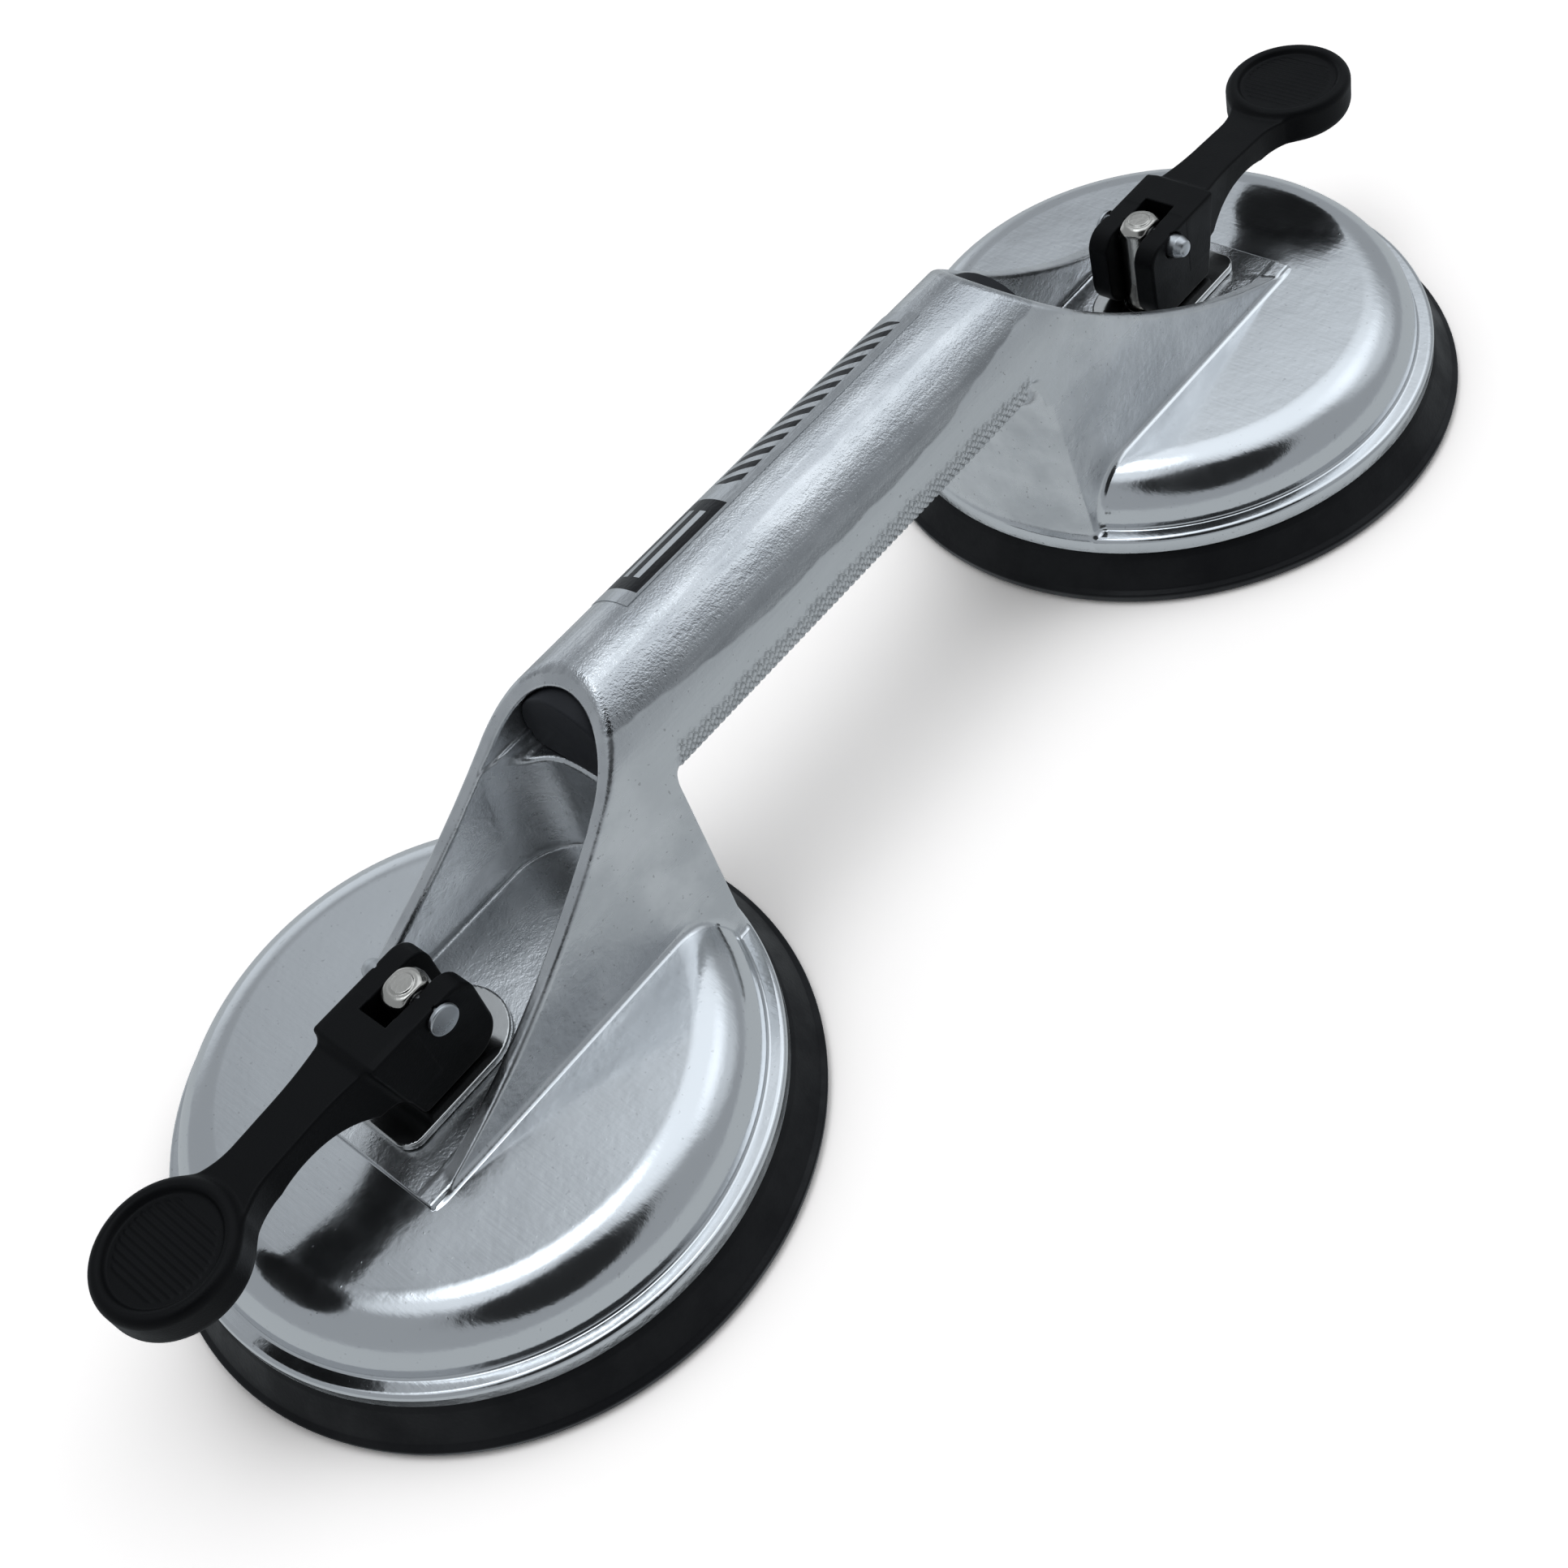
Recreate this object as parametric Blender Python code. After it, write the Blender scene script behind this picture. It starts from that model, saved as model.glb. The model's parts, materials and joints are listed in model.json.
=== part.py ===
"""Two-cup vacuum suction lifter with cam levers, as separate named solids.

Frame: metres, +Z up. The origin is midway between the cups, on the plane of the sealing rings.
X runs along the handle, with the left cup at -X. The right cup's mechanism is the left one
turned half a turn about Z. Every piece is shown locked: levers lying outward, posts pulled up.
"""

import math

import bmesh
import bpy
from mathutils import Matrix, Vector

MM = 0.001

# Driving dimensions of the whole lifter
CUP_SPACING = 205.6 * MM
PAD_RADIUS = 60.0 * MM
LIP_RADIUS = 55.2 * MM
CROWN_Z = 23.0 * MM
FLOOR_Z = 23.8 * MM
HANDLE_TOP_Z = 68.6 * MM
PIN_Z = 40.9 * MM
RUNNING_GAP = 0.3 * MM
EDGE = 0.3 * MM

# Rubber pad
PAD_EDGE_Z = 1.8 * MM
PAD_RING_INNER = 48.0 * MM
PAD_RECESS_Z = 1.8 * MM
PAD_WEB_TOP_Z = 4.5 * MM
PAD_STEP = 3.0 * MM
PAD_NECK = LIP_RADIUS - 0.4 * MM

# Bell
BELL_SIDE_RADIUS = 52.0 * MM
SHOULDER_RADIUS = 10.5 * MM
LEDGE_Z = 12.3 * MM
LIP_BOTTOM_Z = 8.8 * MM
BELL_WALL = 2.6 * MM
BELL_DRAFT = 0.8 * MM
LIP_ROUND = 1.1 * MM
BOSS_RADIUS = 10.0 * MM
BOSS_BOTTOM_Z = 17.0 * MM
POST_HOLE_RADIUS = 4.6 * MM

# Columns and handle
ARCH_RADIUS = 15.1 * MM
ARCH_CENTRE_Z = HANDLE_TOP_Z - ARCH_RADIUS
WALL_DRAFT = 0.125
WALL = 3.0 * MM
COLUMN_FOOT_Z = 10.5 * MM
COLUMN_REACH = 54.4 * MM
POCKET_REACH = 44.8 * MM
COLUMN_TIP_X = 124.0 * MM
GRIP_EDGE_Z = 52.6 * MM
GRIP_HALF_WIDTH = 14.4 * MM
GRIP_CORNER = 5.0 * MM
GRIP_BOTTOM_Z = 46.5 * MM
RIM_TOP_X = 52.0 * MM
RIM_END_X = 126.5 * MM
RIM_END_Z = 21.6 * MM
RIM_SAG = 5.8 * MM
RIM_LEAD = 2.0 * MM

# Plug in each open end of the handle
PLUG_FACE_X = 57.5 * MM
PLUG_DEPTH = 7.0 * MM

# Wear washer under each lever: round towards the handle, square outward
WASHER_HALF_WIDTH = 9.9 * MM
WASHER_INNER_END = 12.2 * MM
WASHER_OUTER_END = 17.6 * MM
WASHER_CORNER = 3.5 * MM
WASHER_THICKNESS = 1.4 * MM
WASHER_BOTTOM_Z = FLOOR_Z + RUNNING_GAP

# Post and backing plate
SHANK_RADIUS = 4.1 * MM
TANG_HALF_WIDTH = 2.9 * MM
TANG_BOTTOM_Z = 24.6 * MM
POST_TOP_Z = PIN_Z + 3.8 * MM
POST_CHAMFER = 0.9 * MM
CUP_TRAVEL = 2.0 * MM
PLATE_RADIUS = 32.0 * MM
PLATE_THICKNESS = 1.8 * MM
PLATE_BOTTOM_Z = PAD_WEB_TOP_Z + CUP_TRAVEL + RUNNING_GAP
PLATE_HOLE_RADIUS = 3.4 * MM
FLANGE_RADIUS = 8.0 * MM
FLANGE_THICKNESS = 2.2 * MM
STUB_RADIUS = PLATE_HOLE_RADIUS - RUNNING_GAP

# Lever, measured from its pin with u pointing outward and v up
BLOCK_HALF_WIDTH = 7.6 * MM
SLOT_HALF_WIDTH = TANG_HALF_WIDTH + RUNNING_GAP
SLOT_END = 7.0 * MM
CAM_DROP = 15.0 * MM
CAM_INNER = 7.4 * MM
CAM_ROUND = 6.0 * MM
HEEL = 10.8 * MM
BLOCK_OUTER = 14.2 * MM
BLOCK_TOP = 2.8 * MM
CREST_ROUND = 2.6 * MM
CREST_INSET = 2.2 * MM
ARM_TOP = 1.9 * MM
ARM_HALF_WIDTH = 4.7 * MM
ARM_START = BLOCK_OUTER - 2.0 * MM
ARM_ROOT_DROP = 9.6 * MM
ARM_ARC_CENTRE = (29.0 * MM, -22.6 * MM)
ARM_ARC_RADIUS = 18.0 * MM
THUMB_REACH = 53.0 * MM
THUMB_RADIUS = 12.0 * MM
THUMB_TOP = 1.2 * MM
THUMB_BOTTOM = -6.0 * MM
THUMB_FILLET = 14.0 * MM
THUMB_DISH_RADIUS = 9.7 * MM
THUMB_DISH_DEPTH = 1.3 * MM
THUMB_RIM = 0.5 * MM

# Pivot pin
PIN_RADIUS = 2.2 * MM
PIN_HEAD_RADIUS = 2.9 * MM
PIN_HEAD_THICKNESS = 0.9 * MM
PIN_TIP = 10.8 * MM
PIN_DOME = 2.0 * MM
PIN_BORE_RADIUS = PIN_RADIUS + RUNNING_GAP
COUNTERBORE_RADIUS = 3.4 * MM
COUNTERBORE_DEPTH = 1.0 * MM

# Film label on the handle's crest, as angles from +Y about the arch's centre
LABEL_START_X = -37.0 * MM
LABEL_END_X = 41.0 * MM
LABEL_ANGLES = (math.radians(40.0), math.radians(86.0))
LABEL_LIFT = 0.15 * MM
LABEL_THICKNESS = 0.2 * MM

TURN_STEPS = 64
RELIEF_STEPS = 56
COLUMN_STEPS = 96
DISC_STEPS = 48
POST_STEPS = 32
PIN_STEPS = 24
THUMB_STEPS = 40
SMALL_STEPS = 28
SMOOTH_ANGLE = math.radians(32.0)

ALUMINIUM = ("cast_aluminium", (0.78, 0.79, 0.80), 0.16, 1.0)
RUBBER = ("black_rubber", (0.012, 0.012, 0.014), 0.55, 0.0)
LEVER_PLASTIC = ("black_plastic", (0.014, 0.014, 0.016), 0.5, 0.0)
STEEL = ("washer_steel", (0.70, 0.70, 0.69), 0.2, 1.0)
PLATED_STEEL = ("plated_post", (0.66, 0.63, 0.58), 0.25, 1.0)
ZINC = ("zinc_pin", (0.76, 0.78, 0.80), 0.28, 1.0)
PLATE_STEEL = ("plate_steel", (0.45, 0.46, 0.47), 0.45, 1.0)
FILM = ("label_film", (0.62, 0.64, 0.66), 0.3, 0.0)


def clear_scene():
    for obj in list(bpy.data.objects):
        bpy.data.objects.remove(obj, do_unlink=True)


def material(finish):
    """The Principled BSDF material of a (name, colour, roughness, metallic) finish."""
    name, colour, roughness, metallic = finish
    found = bpy.data.materials.get(name)
    if found:
        return found
    made = bpy.data.materials.new(name)
    made.use_nodes = True
    shader = made.node_tree.nodes["Principled BSDF"]
    shader.inputs["Base Color"].default_value = (*colour, 1.0)
    shader.inputs["Roughness"].default_value = roughness
    shader.inputs["Metallic"].default_value = metallic
    return made


def new_object(name, mesh, parent=None, finish=None):
    obj = bpy.data.objects.new(name, mesh)
    bpy.context.scene.collection.objects.link(obj)
    obj.parent = parent
    if finish:
        mesh.materials.append(material(finish))
        mesh.shade_smooth()
        mesh.set_sharp_from_angle(angle=SMOOTH_ANGLE)
    return obj


def new_empty(name, location, parent=None):
    empty = bpy.data.objects.new(name, None)
    bpy.context.scene.collection.objects.link(empty)
    empty.location = location
    empty.parent = parent
    return empty


def arc(centre, radius, start, end, steps):
    """Points from the start to the end angle, in degrees, both ends included."""
    angles = [math.radians(start + (end - start) * i / steps) for i in range(steps + 1)]
    return [(centre[0] + radius * math.cos(a), centre[1] + radius * math.sin(a)) for a in angles]


def mesh_from(name, bm):
    bmesh.ops.recalc_face_normals(bm, faces=bm.faces)
    mesh = bpy.data.meshes.new(name)
    bm.to_mesh(mesh)
    bm.free()
    return mesh


def turned(name, profile, steps=TURN_STEPS):
    """A solid turned about Z from a closed (radius, z) outline that may end on the axis."""
    bm = bmesh.new()
    rings = []
    for radius, z in profile:
        if radius == 0.0:
            rings.append([bm.verts.new((0.0, 0.0, z))] * steps)
            continue
        angles = [math.tau * i / steps for i in range(steps)]
        rings.append([bm.verts.new((radius * math.cos(a), radius * math.sin(a), z)) for a in angles])
    for lower, upper in zip(rings, rings[1:] + rings[:1]):
        if lower[0] is lower[1] and upper[0] is upper[1]:
            continue
        for i in range(steps):
            j = (i + 1) % steps
            corners = dict.fromkeys((lower[i], lower[j], upper[j], upper[i]))
            bm.faces.new(list(corners))
    return mesh_from(name, bm)


def prism(name, outline, low, high, to_place):
    """An outline (a, b) swept from low to high, each point placed by to_place(a, b, sweep)."""
    bm = bmesh.new()
    ends = [[bm.verts.new(to_place(a, b, sweep)) for a, b in outline] for sweep in (low, high)]
    bm.faces.new(ends[0])
    bm.faces.new(ends[1])
    for i in range(len(outline)):
        j = (i + 1) % len(outline)
        bm.faces.new((ends[0][i], ends[0][j], ends[1][j], ends[1][i]))
    return mesh_from(name, bm)


def along_x(a, b, sweep):
    return (sweep, a, b)


def along_y(a, b, sweep):
    return (a, sweep, b)


def along_z(a, b, sweep):
    return (a, b, sweep)


def helper(name, mesh, parent=None):
    """A hidden solid that only shapes other solids."""
    obj = new_object(name, mesh, parent)
    obj.hide_render = True
    obj.display_type = "WIRE"
    return obj


def combine(target, operation, other):
    modifier = target.modifiers.new(f"{operation.lower()} {other.name}", "BOOLEAN")
    modifier.operation = operation
    modifier.solver = "EXACT"
    modifier.object = other


def rod_mesh(name, radius, low, high, steps=SMALL_STEPS):
    return turned(name, [(0.0, low), (radius, low), (radius, high), (0.0, high)], steps)


def rod(name, radius, low, high, parent=None):
    """A hidden round rod along Z."""
    return helper(name, rod_mesh(name, radius, low, high), parent)


def rod_along_y(name, radius, low, high, parent):
    obj = rod(name, radius, low, high, parent)
    obj.rotation_euler = (-math.pi / 2, 0.0, 0.0)
    return obj


# Casting


def wall_half_width(z, inset=0.0):
    """Half the width over a column's two walls, which widen downward with the casting draft."""
    return ARCH_RADIUS + (ARCH_CENTRE_Z - z) * WALL_DRAFT - inset


def column_section(inset, bottom_z):
    """Outline (y, z) across a column: drafted walls under a half-round arch."""
    crest = arc((0.0, ARCH_CENTRE_Z), ARCH_RADIUS - inset, 0.0, 180.0, 20)
    foot = wall_half_width(bottom_z, inset)
    return [(-foot, bottom_z), (foot, bottom_z)] + crest


def under_grip_section(inset):
    """Outline (y, z) of the open space under the handle, grown inward by a wall thickness."""
    half = GRIP_HALF_WIDTH - inset
    bottom = GRIP_BOTTOM_Z + inset
    corner = GRIP_CORNER - inset
    edge = GRIP_EDGE_Z
    side = 2.0 * ARCH_RADIUS
    right = [(side, 0.0), (side, edge), (half, edge)]
    right += arc((half - corner, bottom + corner), corner, 0.0, -90.0, 5)
    left = [(-y, z) for y, z in reversed(right)]
    return right + left


def rim_outline():
    """Outline (x, z) above the curved rim that a column's open end is cut back to, for +X."""
    start = Vector((RIM_TOP_X, HANDLE_TOP_Z))
    end = Vector((RIM_END_X, RIM_END_Z))
    chord = end - start
    radius = (chord.length_squared / 4.0 + RIM_SAG * RIM_SAG) / (2.0 * RIM_SAG)
    upward = Vector((-chord.y, chord.x)).normalized()
    centre = (start + end) / 2.0 + upward * (radius - RIM_SAG)
    first = math.degrees(math.atan2(start.y - centre.y, start.x - centre.x))
    last = math.degrees(math.atan2(end.y - centre.y, end.x - centre.x))
    if last < first:
        last += 360.0
    curve = arc(centre, radius, first, last, 14)
    above = 1.3 * HANDLE_TOP_Z
    beyond = 1.2 * RIM_END_X
    lead = [(start.x - RIM_LEAD, above), (start.x - RIM_LEAD, start.y + RIM_LEAD)]
    return lead + curve + [(beyond, RIM_END_Z), (beyond, above)]


def shoulder_arc(inset, start, end, steps):
    """Part of a bell's shoulder, moved into the wall by an inset."""
    centre = (BELL_SIDE_RADIUS - SHOULDER_RADIUS, CROWN_Z - SHOULDER_RADIUS)
    return arc(centre, SHOULDER_RADIUS - inset, start, end, steps)


def bell_outline():
    """Outline (radius, z) of a bell's wall, from its crown over the lip and back under to the boss."""
    ledge = [(BELL_SIDE_RADIUS + EDGE, LEDGE_Z)]
    ledge += arc((LIP_RADIUS - LIP_ROUND, LEDGE_Z - LIP_ROUND), LIP_ROUND, 90.0, 0.0, 3)
    ledge += [
        (LIP_RADIUS, LIP_BOTTOM_Z + EDGE),
        (LIP_RADIUS - EDGE, LIP_BOTTOM_Z),
        (BELL_SIDE_RADIUS - BELL_WALL + BELL_DRAFT, LIP_BOTTOM_Z),
    ]
    boss = [
        (BOSS_RADIUS, CROWN_Z - BELL_WALL),
        (BOSS_RADIUS - EDGE, BOSS_BOTTOM_Z),
        (0.0, BOSS_BOTTOM_Z),
    ]
    outside = [(0.0, CROWN_Z)] + shoulder_arc(0.0, 90.0, 0.0, 7) + ledge
    return outside + shoulder_arc(BELL_WALL, 0.0, 90.0, 5) + boss


def column_relief_outline():
    """Outline (radius, z) that clears a column's foot away under a bell, to the middle of its wall."""
    inset = BELL_WALL / 2.0
    side = [(0.0, 0.0), (BELL_SIDE_RADIUS - inset, 0.0)]
    return side + shoulder_arc(inset, 0.0, 90.0, 5) + [(0.0, CROWN_Z - inset)]


def at_both_cups(make):
    """Calls make(name prefix, cup's X) for the left and the right cup."""
    return [make("left", -CUP_SPACING / 2.0), make("right", CUP_SPACING / 2.0)]


def cup_helper(suffix, mesh):
    def make(prefix, x):
        obj = helper(f"{prefix}_{suffix}", mesh)
        obj.location.x = x
        return obj

    return at_both_cups(make)


def cut_by_columns(block, suffix, radius):
    """Cuts a block short of both columns, whose facing and back walls are round about the cups' axes."""
    high = HANDLE_TOP_Z + COLUMN_REACH
    for cutter in cup_helper(suffix, rod_mesh(suffix, radius, -high, high, COLUMN_STEPS)):
        combine(block, "DIFFERENCE", cutter)


def build_casting():
    long = COLUMN_TIP_X
    outer = prism("casting", column_section(0.0, COLUMN_FOOT_Z), -long, long, along_x)
    casting = new_object("body_casting", outer, finish=ALUMINIUM)

    reach = CUP_SPACING / 2.0 - COLUMN_REACH / 2.0
    under = helper("under_grip", prism("under_grip", under_grip_section(0.0), -reach, reach, along_x))
    cut_by_columns(under, "column_reach", COLUMN_REACH)
    floor = helper("grip_floor", prism("grip_floor", under_grip_section(WALL), -reach, reach, along_x))
    cut_by_columns(floor, "column_inner", POCKET_REACH)
    through = RIM_END_X + WALL
    section = column_section(WALL, FLOOR_Z)
    hollow = helper("handle_hollow", prism("handle_hollow", section, -through, through, along_x))
    combine(hollow, "DIFFERENCE", floor)

    rim = rim_outline()
    mirrored = [(-x, z) for x, z in rim]
    wide = 2.0 * ARCH_RADIUS
    right_rim = helper("right_rim", prism("right_rim", rim, -wide, wide, along_y))
    left_rim = helper("left_rim", prism("left_rim", mirrored, -wide, wide, along_y))
    for cutter in (under, right_rim, left_rim):
        combine(casting, "DIFFERENCE", cutter)
    relief = turned("column_relief", column_relief_outline(), RELIEF_STEPS)
    for cutter in cup_helper("column_relief", relief):
        combine(casting, "DIFFERENCE", cutter)
    for bell in cup_helper("bell", turned("bell", bell_outline())):
        combine(casting, "UNION", bell)
    combine(casting, "DIFFERENCE", hollow)
    for drill in cup_helper("post_hole", rod_mesh("post_hole", POST_HOLE_RADIUS, 0.0, GRIP_BOTTOM_Z)):
        combine(casting, "DIFFERENCE", drill)


def plug_section():
    """Outline (y, z) of the handle's cavity, less a running gap all round."""
    inset = WALL + RUNNING_GAP
    half = GRIP_HALF_WIDTH - inset
    bottom = GRIP_BOTTOM_Z + inset
    corner = GRIP_CORNER - inset
    right = arc((half - corner, bottom + corner), corner, -90.0, 0.0, 3) + [(half, GRIP_EDGE_Z)]
    left = [(-y, z) for y, z in reversed(right)]
    return left + right + arc((0.0, ARCH_CENTRE_Z), ARCH_RADIUS - inset, 0.0, 180.0, 20)


def build_plugs():
    """Two flat-faced plugs that close the handle between its open ends."""
    for prefix, side in (("left", -1.0), ("right", 1.0)):
        ends = sorted((side * PLUG_FACE_X, side * (PLUG_FACE_X - PLUG_DEPTH)))
        mesh = prism("handle_plug", plug_section(), ends[0], ends[1], along_x)
        new_object(f"{prefix}_handle_plug", mesh, finish=LEVER_PLASTIC)


def build_label():
    """A thin film that follows the handle's crest."""
    inner = ARCH_RADIUS + LABEL_LIFT
    start, end = (math.degrees(a) for a in LABEL_ANGLES)
    low = arc((0.0, ARCH_CENTRE_Z), inner, start, end, 6)
    high = arc((0.0, ARCH_CENTRE_Z), inner + LABEL_THICKNESS, end, start, 6)
    mesh = prism("handle_label", low + high, LABEL_START_X, LABEL_END_X, along_x)
    new_object("handle_label", mesh, finish=FILM)


# Mechanism of one cup, modelled for the left cup, whose lever points to -X


def build_rubber_pad(prefix, cup):
    seat_z = LIP_BOTTOM_Z - RUNNING_GAP
    outline = [
        (0.0, PAD_WEB_TOP_Z),
        (0.0, PAD_RECESS_Z),
        (PAD_RING_INNER - PAD_STEP, PAD_RECESS_Z),
        (PAD_RING_INNER, EDGE),
        (PAD_RING_INNER + PAD_STEP / 3.0, 0.0),
        (PAD_RADIUS - EDGE, 0.0),
        (PAD_RADIUS, EDGE),
        (PAD_RADIUS, PAD_EDGE_Z),
        (PAD_RADIUS - EDGE, PAD_EDGE_Z + EDGE),
        (PAD_NECK + EDGE, seat_z - EDGE),
        (PAD_NECK, seat_z),
        (PAD_RING_INNER, seat_z),
        (PAD_RING_INNER - PAD_STEP / 2.0, seat_z - PAD_STEP / 3.0),
        (PAD_RING_INNER - PAD_STEP, PAD_WEB_TOP_Z),
    ]
    new_object(f"{prefix}_rubber_pad", turned("rubber_pad", outline), cup, RUBBER)


def build_backing_plate(prefix, moving):
    top = PLATE_BOTTOM_Z + PLATE_THICKNESS
    outline = [
        (PLATE_HOLE_RADIUS, PLATE_BOTTOM_Z),
        (PLATE_RADIUS, PLATE_BOTTOM_Z),
        (PLATE_RADIUS, top - EDGE),
        (PLATE_RADIUS - EDGE, top),
        (PLATE_HOLE_RADIUS, top),
    ]
    mesh = turned("backing_plate", outline, DISC_STEPS)
    plate = new_object(f"{prefix}_backing_plate", mesh, moving, PLATE_STEEL)
    plate.location.z = -PIN_Z


def build_wear_washer(prefix, cup):
    """An oblong polished plate with the post's hole through it."""
    half = WASHER_HALF_WIDTH
    corner_x = WASHER_CORNER - WASHER_OUTER_END
    corner_y = half - WASHER_CORNER
    outline = arc((WASHER_INNER_END - half, 0.0), half, -90.0, 90.0, 24)
    outline += arc((corner_x, corner_y), WASHER_CORNER, 90.0, 180.0, 6)
    outline += arc((corner_x, -corner_y), WASHER_CORNER, 180.0, 270.0, 6)
    top = WASHER_BOTTOM_Z + WASHER_THICKNESS
    mesh = prism("wear_washer", outline, WASHER_BOTTOM_Z, top, along_z)
    washer = new_object(f"{prefix}_wear_washer", mesh, cup, STEEL)
    hole = rod(f"{prefix}_washer_hole", POST_HOLE_RADIUS, 0.0, HANDLE_TOP_Z, cup)
    combine(washer, "DIFFERENCE", hole)


def build_post(prefix, moving):
    """The post, with its pin's height as the origin: round shank, flat-sided tang, riveted foot."""
    plate_top = PLATE_BOTTOM_Z + PLATE_THICKNESS
    outline = [
        (0.0, PLATE_BOTTOM_Z),
        (STUB_RADIUS, PLATE_BOTTOM_Z),
        (STUB_RADIUS, plate_top + RUNNING_GAP),
        (FLANGE_RADIUS, plate_top + RUNNING_GAP),
        (FLANGE_RADIUS, plate_top + FLANGE_THICKNESS),
        (SHANK_RADIUS, plate_top + FLANGE_THICKNESS),
        (SHANK_RADIUS, POST_TOP_Z - POST_CHAMFER),
        (SHANK_RADIUS - POST_CHAMFER, POST_TOP_Z),
        (0.0, POST_TOP_Z),
    ]
    post = new_object(f"{prefix}_post", turned("post", outline, POST_STEPS), moving, PLATED_STEEL)
    post.location.z = -PIN_Z
    flat = [
        (-2.0 * SHANK_RADIUS, TANG_BOTTOM_Z),
        (2.0 * SHANK_RADIUS, TANG_BOTTOM_Z),
        (2.0 * SHANK_RADIUS, HANDLE_TOP_Z),
        (-2.0 * SHANK_RADIUS, HANDLE_TOP_Z),
    ]
    for side, label in ((-1.0, "front"), (1.0, "back")):
        near = side * TANG_HALF_WIDTH
        far = side * 2.0 * SHANK_RADIUS
        mesh = prism("tang_flat", flat, min(near, far), max(near, far), along_y)
        cutter = helper(f"{prefix}_{label}_flat", mesh, moving)
        cutter.location.z = -PIN_Z
        combine(post, "DIFFERENCE", cutter)
    bore = rod_along_y(f"{prefix}_post_bore", PIN_BORE_RADIUS, -PIN_TIP, PIN_TIP, moving)
    combine(post, "DIFFERENCE", bore)


def build_pivot_pin(prefix, moving):
    """Headed pin along Y through the origin: flat head at -Y, domed end at +Y."""
    head_inner = -(BLOCK_HALF_WIDTH + RUNNING_GAP)
    head_outer = head_inner - PIN_HEAD_THICKNESS
    round_end = arc((0.0, 0.0), 1.0, 0.0, 72.0, 3)
    domed = [(PIN_RADIUS * x, PIN_TIP - PIN_DOME * (1.0 - y)) for x, y in round_end]
    outline = [
        (0.0, head_outer),
        (PIN_HEAD_RADIUS - EDGE, head_outer),
        (PIN_HEAD_RADIUS, head_outer + EDGE),
        (PIN_HEAD_RADIUS, head_inner),
        (PIN_RADIUS, head_inner),
    ]
    outline += domed + [(0.0, PIN_TIP)]
    mesh = turned("pivot_pin", outline, PIN_STEPS)
    mesh.transform(Matrix.Rotation(-math.pi / 2, 4, "X"))
    new_object(f"{prefix}_pivot_pin", mesh, moving, ZINC)


def block_profile():
    """Side view (u, v) of the cam block: flat foot, rounded inner corners, raked outer face."""
    foot = -CAM_DROP
    cam = arc((-CAM_INNER + CAM_ROUND, foot + CAM_ROUND), CAM_ROUND, 270.0, 180.0, 8)
    crest_centre = (-CAM_INNER + CREST_INSET + CREST_ROUND, BLOCK_TOP - CREST_ROUND)
    crest = arc(crest_centre, CREST_ROUND, 165.0, 90.0, 4)
    return [(BLOCK_OUTER, BLOCK_TOP), (HEEL + EDGE, foot + EDGE), (HEEL, foot)] + cam + crest


def arm_profile():
    """Side view (u, v) of the arm and thumb pad under its rim."""
    beyond = THUMB_REACH + 2.0 * THUMB_RADIUS
    top = [(beyond, 0.0), (THUMB_REACH - THUMB_RADIUS, 0.0), (ARM_START, ARM_TOP)]
    hollow = arc(ARM_ARC_CENTRE, ARM_ARC_RADIUS, 133.0, 60.0, 8)
    return top + [(ARM_START, -ARM_ROOT_DROP)] + hollow + [(beyond, THUMB_BOTTOM)]


def arm_plan():
    """Plan (u, y) of the arm, flaring by two fillets into the round thumb pad."""
    fillet_y = ARM_HALF_WIDTH + THUMB_FILLET
    fillet_u = THUMB_REACH - math.sqrt((THUMB_RADIUS + THUMB_FILLET) ** 2 - fillet_y**2)
    meet = math.degrees(math.atan2(-fillet_y, THUMB_REACH - fillet_u))
    fillet = arc((fillet_u, fillet_y), THUMB_FILLET, -90.0, meet, 5)
    rounded = arc((THUMB_REACH, 0.0), THUMB_RADIUS, 180.0 + meet, -180.0 - meet, 26)
    left = [(ARM_START, ARM_HALF_WIDTH)] + fillet
    right = [(u, -y) for u, y in reversed(left)]
    return left + rounded[1:-1] + right


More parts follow.
